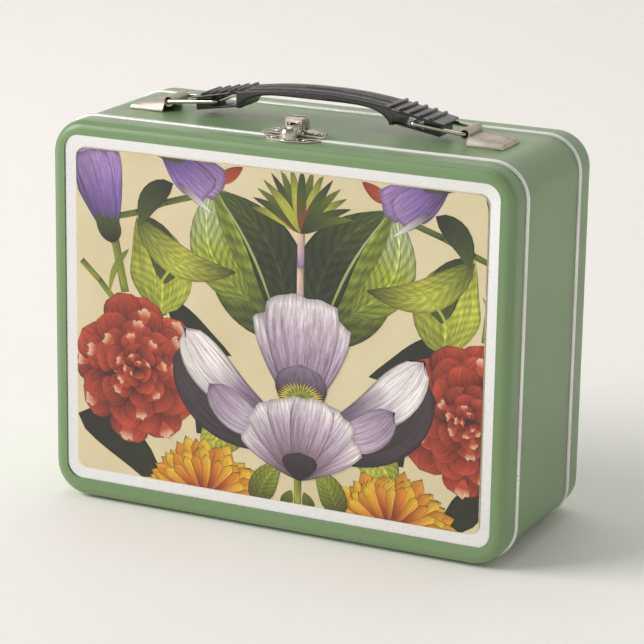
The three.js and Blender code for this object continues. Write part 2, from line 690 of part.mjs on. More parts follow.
// A closed wire loop that reaches towards -X from the knuckle's axis at the origin.
function makeLink() {
  const facet = WIRE_RADIUS * Math.tan(Math.PI / 8);
  const bevel = WIRE_RADIUS - facet;
  const loop = (grow) => {
    const corner = LINK_BEND + grow;
    const y = LINK_HALF_WIDTH + grow - corner;
    const right = grow - corner;
    const left = -LINK_REACH - grow + corner;
    const outline = new THREE.Shape();
    outline.absarc(right, y, corner, 0, Math.PI / 2, false);
    outline.absarc(left, y, corner, Math.PI / 2, Math.PI, false);
    outline.absarc(left, -y, corner, Math.PI, Math.PI * 1.5, false);
    outline.absarc(right, -y, corner, Math.PI * 1.5, Math.PI * 2, false);
    return outline;
  };
  const ring = loop(facet);
  ring.holes.push(new THREE.Path(loop(-facet).getPoints(3).reverse()));
  const geometry = new THREE.ExtrudeGeometry(ring, {
    depth: 2 * facet,
    steps: 1,
    curveSegments: 3,
    bevelEnabled: true,
    bevelSize: bevel,
    bevelThickness: bevel,
    bevelSegments: 1,
  });
  geometry.translate(0, 0, -facet);
  return solid(geometry);
}

// ---------------------------------------------------------------- carry handle

const plateSlope = (SHOULDER_TOP - PLATE_TIP_TOP) / (GRIP_END - GRIP_SHOULDER);
const footSlope = (FOOT_INNER_LOW - FOOT_OUTER_LOW) / (FOOT_OUTER - FOOT_INNER);
const plateTopAt = (x) => SHOULDER_TOP - plateSlope * (Math.abs(x) - GRIP_SHOULDER);
const footLowAt = (x) => FOOT_INNER_LOW - footSlope * (Math.abs(x) - FOOT_INNER);

function gripSideView() {
  const legX = FOOT_INNER - ARCH_LEG;
  const legZ = FOOT_INNER_LOW + GAP;
  const tip = PLATE_TIP_TOP - TIP_THICK;
  const side = new THREE.Shape();
  side.moveTo(-GRIP_END, tip);
  side.lineTo(-FOOT_OUTER, tip);
  side.lineTo(-FOOT_OUTER, FOOT_OUTER_LOW);
  side.lineTo(-FOOT_INNER, FOOT_INNER_LOW);
  side.lineTo(-legX, legZ);
  side.bezierCurveTo(-33, 11.6, -27, 12, 0, ARCH_UNDERSIDE);
  side.bezierCurveTo(27, 12, 33, 11.6, legX, legZ);
  side.lineTo(FOOT_INNER, FOOT_INNER_LOW);
  side.lineTo(FOOT_OUTER, FOOT_OUTER_LOW);
  side.lineTo(FOOT_OUTER, tip);
  side.lineTo(GRIP_END, tip);
  side.lineTo(GRIP_END, PLATE_TIP_TOP);
  side.lineTo(GRIP_SHOULDER, SHOULDER_TOP);
  side.bezierCurveTo(24, CREST - 0.6, 14, CREST, 0, CREST);
  side.bezierCurveTo(-14, CREST, -24, CREST - 0.6, -GRIP_SHOULDER, SHOULDER_TOP);
  side.lineTo(-GRIP_END, PLATE_TIP_TOP);
  side.closePath();
  return side;
}

// A hollow between two places along X: its floor lies on the foot, or below it, and its roof runs
// along the underside of the plate.
function gripPocket(end, inner, outer, floorLift) {
  const shape = new THREE.Shape();
  shape.moveTo(end * inner, footLowAt(inner) + floorLift);
  shape.lineTo(end * outer, footLowAt(outer) + floorLift);
  shape.lineTo(end * outer, plateTopAt(outer) - PLATE_THICK);
  shape.lineTo(end * inner, plateTopAt(inner) - PLATE_THICK);
  shape.closePath();
  return shape;
}

function makeGrip() {
  const half = HANDLE_WIDTH / 2;
  const past = half + OVERRUN;
  let grip = alongY(gripSideView(), -half, half, 0, 0, 1, 6);
  for (const end of [-1, 1]) {
    grip = grip.subtract(alongY(gripPocket(end, SLOT_INNER, SLOT_OUTER, FOOT_THICK), -past, past));
    // The foot is narrower than the plate, so that the link swings down past it.
    const beside = gripPocket(end, SLOT_INNER, FOOT_OUTER + OVERRUN / 2, -OVERRUN);
    for (const edge of [-1, 1]) {
      const near = Math.min(edge * FOOT_HALF_WIDTH, edge * past);
      const far = Math.max(edge * FOOT_HALF_WIDTH, edge * past);
      grip = grip.subtract(alongY(beside, near, far));
    }
    for (let i = 0; i < RIB_COUNT; i += 1) {
      const x = end * (RIB_FIRST + i * RIB_PITCH);
      const rib = new THREE.BoxGeometry(RIB_WIDE, HANDLE_WIDTH - OVERRUN, RIB_TALL);
      rib.rotateY(end * Math.atan(plateSlope));
      rib.translate(x, 0, plateTopAt(x));
      grip = grip.add(solid(rib));
    }
  }
  return grip;
}

// ---------------------------------------------------------------- assembly

addPiece('lid_shell', makeLidShell(), 'green_paint');
addPiece('body_band', makeBodyBand(), 'green_paint');
addPiece('rear_shell', makeRearShell(), 'green_paint');

const frontBeads = makeFrontBeads();
addPiece('front_bead', frontBeads.round, 'bare_tin');
addPiece('front_bead_bottom', frontBeads.bottom, 'bare_tin');
addPiece('rear_bead', makeBeadRing(REAR_BEAD_Y), 'bare_tin');
addPiece('picture_tray', makePictureTray(), 'bare_tin');
addPiece('art_panel', makeArtPanel(), 'print');

for (const [name, side] of [['left', -1], ['right', 1]]) {
  const x = side * HINGE_X;
  const bodyLeaf = hingeLeaf(x, 1, [-1, 1], BODY_LEAF_REACH, HINGE_BODY_RIVET_Y);
  const lidLeaf = hingeLeaf(x, -1, [0], LID_LEAF_REACH, HINGE_LID_RIVET_Y);
  addPiece(`${name}_hinge_body_leaf`, bodyLeaf, 'nickel');
  addPiece(`${name}_hinge_lid_leaf`, lidLeaf, 'nickel');
  const pin = bar('x', x, FRONT_BEAD_Y, HINGE_Z, HINGE_PIN, HINGE_WIDTH, 10);
  addPiece(`${name}_hinge_pin`, pin, 'nickel');
  const leafTop = HINGE_Z + HINGE_BARREL;
  for (const [word, offset] of [['outer', side], ['inner', -side]]) {
    const at = x + offset * HINGE_RIVET_SPREAD;
    addPiece(`${name}_hinge_body_rivet_${word}`, rivet(at, HINGE_BODY_RIVET_Y, FLOOR, leafTop), 'nickel');
    addPiece(`${name}_hinge_lid_rivet_${word}`, rivet(at, HINGE_LID_RIVET_Y, FLOOR, leafTop), 'nickel');
  }
}

addPiece('latch_body_plate', makeLatchBodyPlate(), 'nickel');
addPiece('latch_lid_plate', makeLatchLidPlate(), 'nickel');
addPiece('latch_hasp', makeHasp(), 'nickel');
addPiece('latch_hasp_pin', makeHaspPin(), 'nickel');
for (const [word, side] of [['left', -1], ['right', 1]]) {
  const bodyX = LATCH_X + side * LATCH_RIVET_SPREAD;
  const bodyRivet = rivet(bodyX, LATCH_RIVET_Y, TOP - SHEET, TOP + LATCH_RISE);
  addPiece(`latch_body_rivet_${word}`, bodyRivet, 'nickel');
  const lidX = LATCH_X + side * LATCH_LID_RIVET_SPREAD;
  const lidRivet = rivet(lidX, LATCH_LID_RIVET_Y, TOP - SHEET, PLATE_LOW + LATCH_PLATE);
  addPiece(`latch_lid_rivet_${word}`, lidRivet, 'nickel');
}

const bracket = makeBracket();
const link = makeLink();
for (const [name, side] of [['left', -1], ['right', 1]]) {
  const place = new THREE.Group();
  place.position.set(side * KNUCKLE_X, HANDLE_Y, TOP);
  place.rotation.z = side > 0 ? 0 : Math.PI;
  lunchBox.add(place);
  addPiece(`${name}_handle_bracket`, bracket, 'nickel', place);
  const linkMesh = addPiece(`${name}_handle_link`, link, 'nickel', place);
  linkMesh.position.z = KNUCKLE_RISE;
  linkMesh.rotation.y = LINK_REST_ANGLE;
}

const grip = addPiece('handle_grip', makeGrip(), 'black_plastic');
grip.position.set(HANDLE_X, HANDLE_Y, TOP);

export default lunchBox;
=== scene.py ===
# A sheet-metal lunch box: two pressed green shells on a wall band, bare rolled beads at the seams,
# a framed picture of flowers in the lid, a snap hasp, and a plastic carry handle that lifts.
# Everything is in metres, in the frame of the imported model: X across, Y to the back, Z up.
import math
import random

import bmesh
import bpy
from mathutils import Matrix, Vector


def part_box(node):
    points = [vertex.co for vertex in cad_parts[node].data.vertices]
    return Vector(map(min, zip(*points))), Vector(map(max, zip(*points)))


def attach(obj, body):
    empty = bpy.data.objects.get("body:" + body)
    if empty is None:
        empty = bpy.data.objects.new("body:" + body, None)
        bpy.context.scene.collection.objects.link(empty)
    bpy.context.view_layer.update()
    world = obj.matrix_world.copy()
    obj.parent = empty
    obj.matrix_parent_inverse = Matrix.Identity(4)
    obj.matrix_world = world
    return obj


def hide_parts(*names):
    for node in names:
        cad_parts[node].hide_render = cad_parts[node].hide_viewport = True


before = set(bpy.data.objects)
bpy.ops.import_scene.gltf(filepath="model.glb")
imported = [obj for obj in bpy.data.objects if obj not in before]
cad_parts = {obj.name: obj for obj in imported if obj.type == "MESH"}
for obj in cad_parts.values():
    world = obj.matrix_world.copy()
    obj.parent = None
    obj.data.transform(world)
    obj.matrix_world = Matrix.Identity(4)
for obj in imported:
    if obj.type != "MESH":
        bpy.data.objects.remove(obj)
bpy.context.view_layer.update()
MM = 0.001


# ---- The pressed shells -------------------------------------------------------------------------
# The lid and the rear shell are shallow dishes of half-millimetre tinplate, drawn in a press with
# a wide rounded edge, and sprayed a soft satin green before the box is put together.

SHEET = 0.5 * MM
EDGE_ROUND = 4.5 * MM
CORNER = 15.5 * MM
CORNER_STEPS = 12
FINE_EDGE = 0.12 * MM
CREASE = 0.16 * MM
CREASE_TURNS = [math.radians(turn) for turn in (43, 44.5, 45.5, 51)]
RIM_STEPS = 8
SHARP_FOLD = math.radians(38)

lid_low, lid_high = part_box("lid_shell")
rear_low, rear_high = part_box("rear_shell")
HALF_WIDTH = lid_high.x
WALL_LOW, WALL_TOP = lid_low.z, lid_high.z
FRONT, BACK = lid_low.y, rear_high.y


def colour(hexcode):
    """A paint maker's hex code as the linear colour that a shader takes."""
    parts = [int(hexcode[i : i + 2], 16) / 255 for i in (0, 2, 4)]
    return [c / 12.92 if c <= 0.04045 else ((c + 0.055) / 1.055) ** 2.4 for c in parts] + [1]


def put(tree, kind, values=None, **settings):
    """Adds a node to a tree. A value is a plain one, or the socket that feeds the input."""
    made = tree.nodes.new(kind)
    for name, setting in settings.items():
        setattr(made, name, setting)
    for name, value in (values or {}).items():
        if isinstance(value, bpy.types.NodeSocket):
            tree.links.new(value, made.inputs[name])
        else:
            made.inputs[name].default_value = value
    return made


def sum_of(tree, operation, *values):
    """One arithmetic step between numbers or sockets."""
    return put(tree, "ShaderNodeMath", dict(enumerate(values)), operation=operation).outputs[0]


def blend_of(tree, amount, first, second, kind="MIX"):
    """Two colours mixed by an amount."""
    made = put(tree, "ShaderNodeMix", {0: amount, 6: first, 7: second}, data_type="RGBA")
    made.blend_type = kind
    return made.outputs[2]


def noise_of(tree, where, scale, detail=2.0, rough=0.5):
    """A soft random value from 0 to 1."""
    sizes = {"Vector": where, "Scale": scale, "Detail": detail, "Roughness": rough}
    return put(tree, "ShaderNodeTexNoise", sizes).outputs[0]


def spread_of(tree, value, low, high, to_low=0.0, to_high=1.0):
    """A value stretched from one range to another and held inside it."""
    sizes = {0: value, 1: low, 2: high, 3: to_low, 4: to_high}
    return put(tree, "ShaderNodeMapRange", sizes).outputs[0]


def effect_group(name, values, results):
    """An empty shader node group with named number inputs and number outputs."""
    group = bpy.data.node_groups.new(name, "ShaderNodeTree")
    for word, default in values.items():
        socket = group.interface.new_socket(word, in_out="INPUT", socket_type="NodeSocketFloat")
        socket.default_value = default
    for word in results:
        group.interface.new_socket(word, in_out="OUTPUT", socket_type="NodeSocketFloat")
    return group, group.nodes.new("NodeGroupInput"), group.nodes.new("NodeGroupOutput")


# Handling leaves soft smudges in a gloss, and a fine skin texture on any sprayed or moulded piece.
skin, skin_in, skin_out = effect_group(
    "handled_skin", {"Grain": 900.0, "Smudge": 28.0}, ("Height", "Smudges", "Drift")
)
skin_at = put(skin, "ShaderNodeTexCoord").outputs["Object"]
fine = noise_of(skin, skin_at, skin_in.outputs["Grain"], 3.0, 0.6)
broad = noise_of(skin, skin_at, skin_in.outputs["Smudge"], 4.0, 0.62)
skin.links.new(fine, skin_out.inputs["Height"])
skin.links.new(spread_of(skin, broad, 0.32, 0.7), skin_out.inputs["Smudges"])
skin.links.new(noise_of(skin, skin_at, 9.0, 1.0), skin_out.inputs["Drift"])


def finish(name, roughness, metallic=0.0, **constants):
    """An empty material with its principled shader, and the values that are the same all over."""
    made = bpy.data.materials.new(name)
    made.use_nodes = True
    shader = made.node_tree.nodes["Principled BSDF"]
    shader.inputs["Metallic"].default_value = metallic
    shader.inputs["Roughness"].default_value = roughness
    for word, value in constants.items():
        shader.inputs[word.replace("_", " ")].default_value = value
    return made, made.node_tree, shader


def skin_of(tree, grain, smudge):
    """The handled skin, placed in one material at its own scale."""
    made = put(tree, "ShaderNodeGroup", node_tree=skin)
    made.inputs["Grain"].default_value, made.inputs["Smudge"].default_value = grain, smudge
    return made.outputs


def dress(tree, shader, tone, gloss, height, strength, distance):
    """Feeds a colour, a gloss and a fine relief of the given strength and height to a shader."""
    sizes = {"Height": height, "Strength": strength, "Distance": distance}
    bump = put(tree, "ShaderNodeBump", sizes).outputs[0]
    for word, socket in (("Base Color", tone), ("Roughness", gloss), ("Normal", bump)):
        tree.links.new(socket, shader.inputs[word])


green_paint, tree, shader = finish("green_paint", 0.4, Coat_Weight=0.18, Coat_Roughness=0.22)
signs = skin_of(tree, 1500.0, 34.0)
tone = blend_of(tree, signs["Drift"], colour("718e61"), colour("779466"))
tone = blend_of(tree, spread_of(tree, signs["Smudges"], 0, 1, 0, 0.16), tone, colour("869f77"))
satin = spread_of(tree, signs["Smudges"], 0, 1, 0.36, 0.47)
dress(tree, shader, tone, satin, signs["Height"], 0.22, 0.05 * MM)


def outline_at(inset, y, sides=None):
    """The box's outline at one depth: a list of points. Sides are the left and right, bottom and
    top insets, where they differ, and then the corner's own radius."""
    side, bottom, top, corner = sides or (inset, inset, inset, CORNER - inset)
    x = HALF_WIDTH - side - corner
    low = WALL_LOW + bottom + corner
    high = WALL_TOP - top - corner
    centres = ((x, low, -90), (x, high, 0), (-x, high, 90), (-x, low, 180))
    points = []
    for cx, cz, start in centres:
        for step in range(CORNER_STEPS + 1):
            turn = math.radians(start + 90 * step / CORNER_STEPS)
            points.append(Vector((cx + corner * math.cos(turn), y, cz + corner * math.sin(turn))))
    return points


def stitched(name, rings, capped=False):
    """Sews rings of points into a skin. It closes on its first ring, or with a cap at each end."""
    size = len(rings[0])
    points = [point for ring in rings for point in ring]
    faces = []
    for row in range(len(rings) - 1 if capped else len(rings)):
        here, there = row * size, ((row + 1) % len(rings)) * size
        for i in range(size):
            j = (i + 1) % size
            faces.append((here + i, here + j, there + j, there + i))
    if capped:
        faces.append(tuple(range(size))[::-1])
        faces.append(tuple(range(len(points) - size, len(points))))
    mesh = bpy.data.meshes.new(name)
    mesh.from_pydata(points, [], faces)
    return placed(name, mesh)


def in_scene(name, data):
    """A thing in the scene, made from a mesh, a light or a lens."""
    made = bpy.data.objects.new(name, data)
    bpy.context.scene.collection.objects.link(made)
    return made


def placed(name, mesh, sharp=SHARP_FOLD):
    """Puts a mesh in the scene with its faces outwards, smooth but for its folds."""
    work = bmesh.new()
    work.from_mesh(mesh)
    bmesh.ops.recalc_face_normals(work, faces=work.faces)
    work.to_mesh(mesh)
    work.free()
    mesh.shade_smooth()
    mesh.set_sharp_from_angle(angle=sharp)
    return in_scene(name, mesh)


def belongs(piece, body, material, slot, *nodes):
    """A finished piece: its material, the body it rides, and the nodes it stands for. The slot is not
    used.
    """
    if material:
        piece.data.materials.clear()
        piece.data.materials.append(material)
    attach(piece, body)
    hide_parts(*nodes)


def rounded_rim(inset, y_flat, y_deep, toward, crease=0.0):
    """Insets and depths round the edge of a dish, from its flat face to its skirt. A crease is a
    fine raised line half way round the edge, where the press tool drew the sheet over."""
    radius = EDGE_ROUND - inset
    turns = [math.pi / 2 * step / RIM_STEPS for step in range(RIM_STEPS + 1)]
    if crease:
        turns[RIM_STEPS // 2 : RIM_STEPS // 2 + 1] = CREASE_TURNS
    for turn in turns:
        raised = radius + (crease if turn in CREASE_TURNS[1:3] else 0)
        yield EDGE_ROUND - raised * math.sin(turn), y_flat + toward * (radius - raised * math.cos(turn))
    yield inset, y_deep


# The window that is cut in the lid's face: its distance in from the sides, bottom and top.
WINDOW = (6.6 * MM, 8.6 * MM, 6.3 * MM, 7 * MM)


def drawn_in(sides, by, corner_by=None):
    """A window's sides, moved inwards, with its corner's radius reduced."""
    side, bottom, top, corner = sides
    return (side + by, bottom + by, top + by, corner - (by if corner_by is None else corner_by))


lid_back = lid_high.y
skirt = list(rounded_rim(0, FRONT, lid_back - FINE_EDGE, 1, crease=CREASE))
lining = list(rounded_rim(SHEET, FRONT + SHEET, lid_back - FINE_EDGE, 1))
rings = [outline_at(inset, y) for inset, y in reversed(skirt)]
for by, depth in ((-FINE_EDGE, 0), (0, FINE_EDGE), (0, SHEET - FINE_EDGE), (-FINE_EDGE, SHEET)):
    rings.append(outline_at(0, FRONT + depth, drawn_in(WINDOW, by)))
rings += [outline_at(inset, y) for inset, y in lining]
rings.append(outline_at(SHEET - FINE_EDGE, lid_back))
rings.append(outline_at(FINE_EDGE, lid_back))
belongs(stitched("lid_pressing", rings), "lid", green_paint, "green_paint", "lid_shell")

# The back has a wide panel set in by a shallow bevel, which keeps the flat sheet from drumming.
PANEL_INSET = 15 * MM
PANEL_CORNER = 8.6 * MM
PANEL_BEVEL = 3 * MM
PANEL_DROP = 1.6 * MM
PANEL_FOLD = 0.5 * MM


def back_panel(face, drop):
    """Rings from the flat border of the back, down the panel's bevel and onto its floor."""
    for by, depth in (
        (-PANEL_FOLD, 0),
        (0, 0.18),
        (PANEL_BEVEL - PANEL_FOLD, 0.88),
        (PANEL_BEVEL, 1),
        (PANEL_BEVEL + PANEL_FOLD, 1),
    ):
        inset = PANEL_INSET + by
        yield outline_at(0, face - drop * depth, (inset,) * 3 + (PANEL_CORNER - by / 2,))


rear_front = rear_low.y
skirt = list(rounded_rim(0, BACK, rear_front + FINE_EDGE, -1))
lining = list(rounded_rim(SHEET, BACK - SHEET, rear_front + FINE_EDGE, -1))
rings = list(back_panel(BACK, PANEL_DROP))[::-1]
rings += [outline_at(inset, y) for inset, y in skirt]
rings.append(outline_at(FINE_EDGE, rear_front))
rings.append(outline_at(SHEET - FINE_EDGE, rear_front))
rings += [outline_at(inset, y) for inset, y in reversed(lining)]
rings += list(back_panel(BACK - SHEET, PANEL_DROP))
belongs(stitched("rear_pressing", rings, True), "body", green_paint, "green_paint", "rear_shell")


# ---- The wall band ------------------------------------------------------------------------------
# A strip of the same painted sheet is bent round and joined into the box's four walls. Its edges
# step inwards by a sheet, so that both shells slide over the lips. Notches clear the hinges.

LIP_INSET = 1 * MM
LIP_THICK = 0.5 * MM
band_low, band_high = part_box("body_band")
front_bead_low, front_bead_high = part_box("front_bead")
rear_bead_low, rear_bead_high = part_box("rear_bead")
BEAD_GAP = 0.3 * MM
wall_front = front_bead_high.y + BEAD_GAP
wall_back = rear_bead_low.y - BEAD_GAP


def cut_away(piece, first, second):
    """Cuts a block out of a piece, between any two opposite corners of the block."""
    mesh = bpy.data.meshes.new("cutter")
    work = bmesh.new()
    size = [abs(part) for part in second - first]
    place = Matrix.Translation((first + second) / 2) @ Matrix.Diagonal((*size, 1))
    bmesh.ops.create_cube(work, size=1, matrix=place)
    work.to_mesh(mesh)
    work.free()
    cutter = in_scene("cutter", mesh)
    step = piece.modifiers.new("cut", "BOOLEAN")
    step.operation = "DIFFERENCE"
    step.object = cutter
    piece.data = made_plain(piece)
    bpy.data.objects.remove(cutter)


def made_plain(piece):
    """The mesh that a piece's modifiers make. The modifiers are then taken off it."""
    seen = piece.evaluated_get(bpy.context.evaluated_depsgraph_get())
    mesh = bpy.data.meshes.new_from_object(seen)
    piece.modifiers.clear()
    return mesh


inner_lip = LIP_INSET + LIP_THICK
band_profile = (
    (0, wall_front),
    (0, wall_back),
    (LIP_INSET, wall_back),
    (LIP_INSET, band_high.y),
    (inner_lip, band_high.y),
    (inner_lip, wall_back - SHEET),
    (SHEET, wall_back - SHEET),
    (SHEET, wall_front + SHEET),
    (inner_lip, wall_front + SHEET),
    (inner_lip, band_low.y),
    (LIP_INSET, band_low.y),
    (LIP_INSET, wall_front),
)
band = stitched("wall_band", [outline_at(inset, y) for inset, y in band_profile])
NOTCH_TALL = 4 * MM
HINGE_CLEAR = 0.6 * MM
for side in ("left", "right"):
    low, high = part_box(side + "_hinge_body_leaf")
    near = Vector((low.x - HINGE_CLEAR, band_low.y - MM, WALL_LOW + SHEET))
    far = Vector((high.x + HINGE_CLEAR, wall_front + MM, near.z + NOTCH_TALL))
    cut_away(band, near, far)
left_low, left_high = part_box("latch_lid_rivet_left")
right_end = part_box("latch_lid_rivet_right")[1].x
near = Vector((left_low.x - MM, band_low.y - MM, WALL_TOP - NOTCH_TALL))
cut_away(band, near, Vector((right_end + MM, left_high.y + MM, WALL_TOP - SHEET)))
band.data.set_sharp_from_angle(angle=SHARP_FOLD)
belongs(band, "body", green_paint, "green_paint", "body_band")


# ---- The rolled beads ---------------------------------------------------------------------------
# A bright tinned wire-like bead runs round the box at each seam, where the sheet's edge is rolled
# over. The front bead is broken under the box, where the two hinges lie in its line.

bare_tin, tree, shader = finish("bare_tin", 0.3, 0.55)
signs = skin_of(tree, 900.0, 60.0)
tone = blend_of(tree, signs["Smudges"], colour("f3f2ef"), colour("e4e2de"))
gloss = spread_of(tree, signs["Smudges"], 0, 1, 0.24, 0.4)
dress(tree, shader, tone, gloss, signs["Height"], 0.04, 0.03 * MM)


def shape_tree(name, sizes):
    """A geometry tree with named inputs: a size, a count, a place, a material or a piece."""
    tree = bpy.data.node_groups.new(name, "GeometryNodeTree")
    tree.interface.new_socket("Shape", in_out="OUTPUT", socket_type="NodeSocketGeometry")
    for word, kind in sizes.items():
        tree.interface.new_socket(word, in_out="INPUT", socket_type="NodeSocket" + kind)
    return tree, tree.nodes.new("NodeGroupInput").outputs, tree.nodes.new("NodeGroupOutput")


def end_tree(tree, shape, material, out):
    """The last steps of every tree: real geometry, in its material."""
    real = put(tree, "GeometryNodeRealizeInstances", {0: shape}).outputs[0]
    done = put(tree, "GeometryNodeSetMaterial", {"Geometry": real, "Material": material})
    tree.links.new(done.outputs[0], out.inputs["Shape"])


def grown(name, tree, **sizes):
    """A plain mesh piece made by a tree at the given sizes."""
    piece = in_scene(name, bpy.data.meshes.new(name))
    step = piece.modifiers.new("shape", "NODES")
    step.node_group = tree
    for socket in tree.interface.items_tree:
        if socket.in_out == "INPUT":
            step[socket.identifier] = sizes[socket.name]
    mesh = made_plain(piece)
    bpy.data.objects.remove(piece)
    return placed(name, mesh)


wire_sizes = dict.fromkeys(("Width", "Height", "Corner", "Thickness", "Flatness"), "Float")
wire_sizes |= {"Centre": "Vector", "Turn": "Vector", "Metal": "Material"}
wire_tree, given, out = shape_tree("bent_wire", wire_sizes)
sides = {"Width": given["Width"], "Height": given["Height"]}
path = put(wire_tree, "GeometryNodeCurvePrimitiveQuadrilateral", sides).outputs[0]
bends = {"Curve": path, "Count": 16, "Radius": given["Corner"]}
bends = put(wire_tree, "GeometryNodeFilletCurve", bends, mode="POLY").outputs[0]
# The wire's own section is a square with round corners: wholly round when its flatness is nought.
across = sum_of(wire_tree, "MULTIPLY", given["Thickness"], 2.0)
square = {"Width": across, "Height": across}
square = put(wire_tree, "GeometryNodeCurvePrimitiveQuadrilateral", square).outputs[0]
rounding = sum_of(wire_tree, "SUBTRACT", 1.0, given["Flatness"])
rounding = sum_of(wire_tree, "MULTIPLY", given["Thickness"], rounding)
section = {"Curve": square, "Count": 5, "Radius": rounding, "Limit Radius": True}
section = put(wire_tree, "GeometryNodeFilletCurve", section, mode="POLY").outputs[0]
swept = put(wire_tree, "GeometryNodeCurveToMesh", {"Curve": bends, "Profile Curve": section})
moved = {"Geometry": swept.outputs[0], "Translation": given["Centre"], "Rotation": given["Turn"]}
moved = put(wire_tree, "GeometryNodeTransform", moved).outputs[0]
end_tree(wire_tree, moved, given["Metal"], out)

BEAD_PROUD, BEAD_FLATNESS = 0.06 * MM, 0.2
BEAD_RADIUS = (front_bead_high.y - front_bead_low.y) / 2 + BEAD_PROUD
CUT_TALL, CUT_TALLER = 5 * MM, 9 * MM
WALL_MIDDLE = (WALL_LOW + WALL_TOP) / 2
UPRIGHT = math.pi / 2


def bead_ring(name, low, high):
    """A whole bead round the box, centred in the depth that its node takes."""
    return grown(
        name,
        wire_tree,
        Width=2 * HALF_WIDTH,
        Height=WALL_TOP - WALL_LOW,
        Corner=CORNER,
        Thickness=BEAD_RADIUS,
        Flatness=BEAD_FLATNESS,
        Centre=(0, (low.y + high.y) / 2, WALL_MIDDLE),
        Turn=(UPRIGHT, 0, 0),
        Metal=bare_tin,
    )


rear_bead = bead_ring("rear_rolled_bead", rear_bead_low, rear_bead_high)
belongs(rear_bead, "body", None, "bare_tin", "rear_bead")

bottom_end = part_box("front_bead_bottom")[1].x
outer_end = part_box("right_hinge_body_leaf")[1].x + BEAD_GAP
front_bead = bead_ring("front_rolled_bead", front_bead_low, front_bead_high)
near = Vector((-outer_end, FRONT, WALL_LOW - CUT_TALL))
cut_away(front_bead, near, Vector((outer_end, BACK, WALL_LOW + CUT_TALL)))
belongs(front_bead, "body", None, "bare_tin", "front_bead")

bottom_bead = bead_ring("front_rolled_bead_bottom", front_bead_low, front_bead_high)
near = Vector((-2 * HALF_WIDTH, FRONT, WALL_LOW + CUT_TALL))
cut_away(bottom_bead, near, Vector((2 * HALF_WIDTH, BACK, 2 * WALL_TOP)))
for side in (-1, 1):
    near = Vector((side * bottom_end, FRONT, WALL_LOW - CUT_TALLER))
    cut_away(bottom_bead, near, Vector((side * 2 * HALF_WIDTH, BACK, WALL_LOW + CUT_TALLER)))
belongs(bottom_bead, "body", None, "bare_tin", "front_bead_bottom")


# ---- The picture tray ---------------------------------------------------------------------------
# A bare tinplate frame sits behind the lid's window: a flange inside the lid, a narrow bevel that
# slopes down to the picture, and a flat floor. Its tin is satin bright, with a faint sparkle.

TRAY_SHEET = 0.4 * MM
TRAY_FLANGE = 2.5 * MM
TRAY_FLANGE_CORNER = 11.5 * MM
TRAY_BEVEL = 4.9 * MM
TRAY_FOLD = 0.3 * MM
TRAY_TOE = 0.4 * MM
TRAY_CORNER_LOSS = 2.2 * MM
tray_low, tray_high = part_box("picture_tray")

frosted_tin, tree, shader = finish("frosted_tin", 0.3, 1.0)
signs = skin_of(tree, 1800.0, 45.0)
place = put(tree, "ShaderNodeTexCoord").outputs["Object"]
flakes = put(tree, "ShaderNodeTexVoronoi", {"Vector": place, "Scale": 5200.0})
flake = put(tree, "ShaderNodeSeparateColor", {0: flakes.outputs["Color"]}).outputs[0]
tone = blend_of(tree, flake, colour("e9eaec"), colour("f6f6f6"))
gloss = spread_of(tree, flake, 0, 1, 0.24, 0.38)
dress(tree, shader, tone, gloss, sum_of(tree, "ADD", signs["Height"], flake), 0.08, 0.04 * MM)


def tray_rings(front, floor, grow):
    """Rings over the tray's face: the flange, its fold, the bevel, and the floor."""
    yield outline_at(0, front, drawn_in(WINDOW, -TRAY_FLANGE)[:3] + (TRAY_FLANGE_CORNER,))
    for y, by, corner_by in (
        (front, -TRAY_FOLD, -grow),
        (front + 0.2 * TRAY_FOLD, TRAY_FOLD / 2, 0.1 * MM),
        (floor - TRAY_TOE / 4, TRAY_BEVEL - TRAY_TOE, TRAY_CORNER_LOSS),
        (floor, TRAY_BEVEL, TRAY_BEVEL / 2),
    ):
        yield outline_at(0, y, drawn_in(WINDOW, by - grow, corner_by))


rings = list(tray_rings(tray_low.y, tray_high.y - TRAY_SHEET, 0))[::-1]
rings += list(tray_rings(tray_low.y + TRAY_SHEET, tray_high.y, TRAY_SHEET / 2))
tray = stitched("picture_frame", rings, True)
belongs(tray, "lid", frosted_tin, "bare_tin", "picture_tray")


# ---- The printed picture ------------------------------------------------------------------------
# The lid's picture is a flower print under a thin gloss film: a mirrored bunch with one lilac
# poppy, red camellias, marigolds and broad leaves. Each petal is its own thin printed shape.

art_low, art_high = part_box("art_panel")
INK_STEP = 0.009 * MM
RIGHT_HALF_STEP = 0.37
ART_FACE = art_low.y
ART_CORNER = 4.6 * MM
# The picture's own sizes are in millimetres, and its middle line lies to the right of the box's.
AXIS = 12.5
RUFFLE_FROM, RUFFLE_GAIN = 0.7, 3.3
CROWN_ROUND = 0.12
draw = random.Random(20)
petal_points, petal_faces, petal_tints = [], [], []
petal_uvs, petal_edges, petal_veins = [], [], []


def tint_between(first, second, amount):
    """A colour part of the way from one to another."""
    return [a + (b - a) * amount for a, b in zip(first, second)]


def inside_panel(x, z):
    """A point held inside the picture's rounded edge, in metres."""
    margin = 0.25 * MM
    half_x = art_high.x - margin
    low, high = art_low.z + margin, art_high.z - margin
    x = max(-half_x, min(half_x, x))
    z = max(low, min(high, z))
    reach_x = abs(x) - (half_x - ART_CORNER)
    near_z = low + ART_CORNER - z if z < WALL_MIDDLE else z - (high - ART_CORNER)
    if reach_x > 0 and near_z > 0:
        far = math.hypot(reach_x, near_z)
        if far > ART_CORNER:
            x -= math.copysign(reach_x * (1 - ART_CORNER / far), x)
            shift = near_z * (1 - ART_CORNER / far)
            z += shift if z < WALL_MIDDLE else -shift
    return x, z


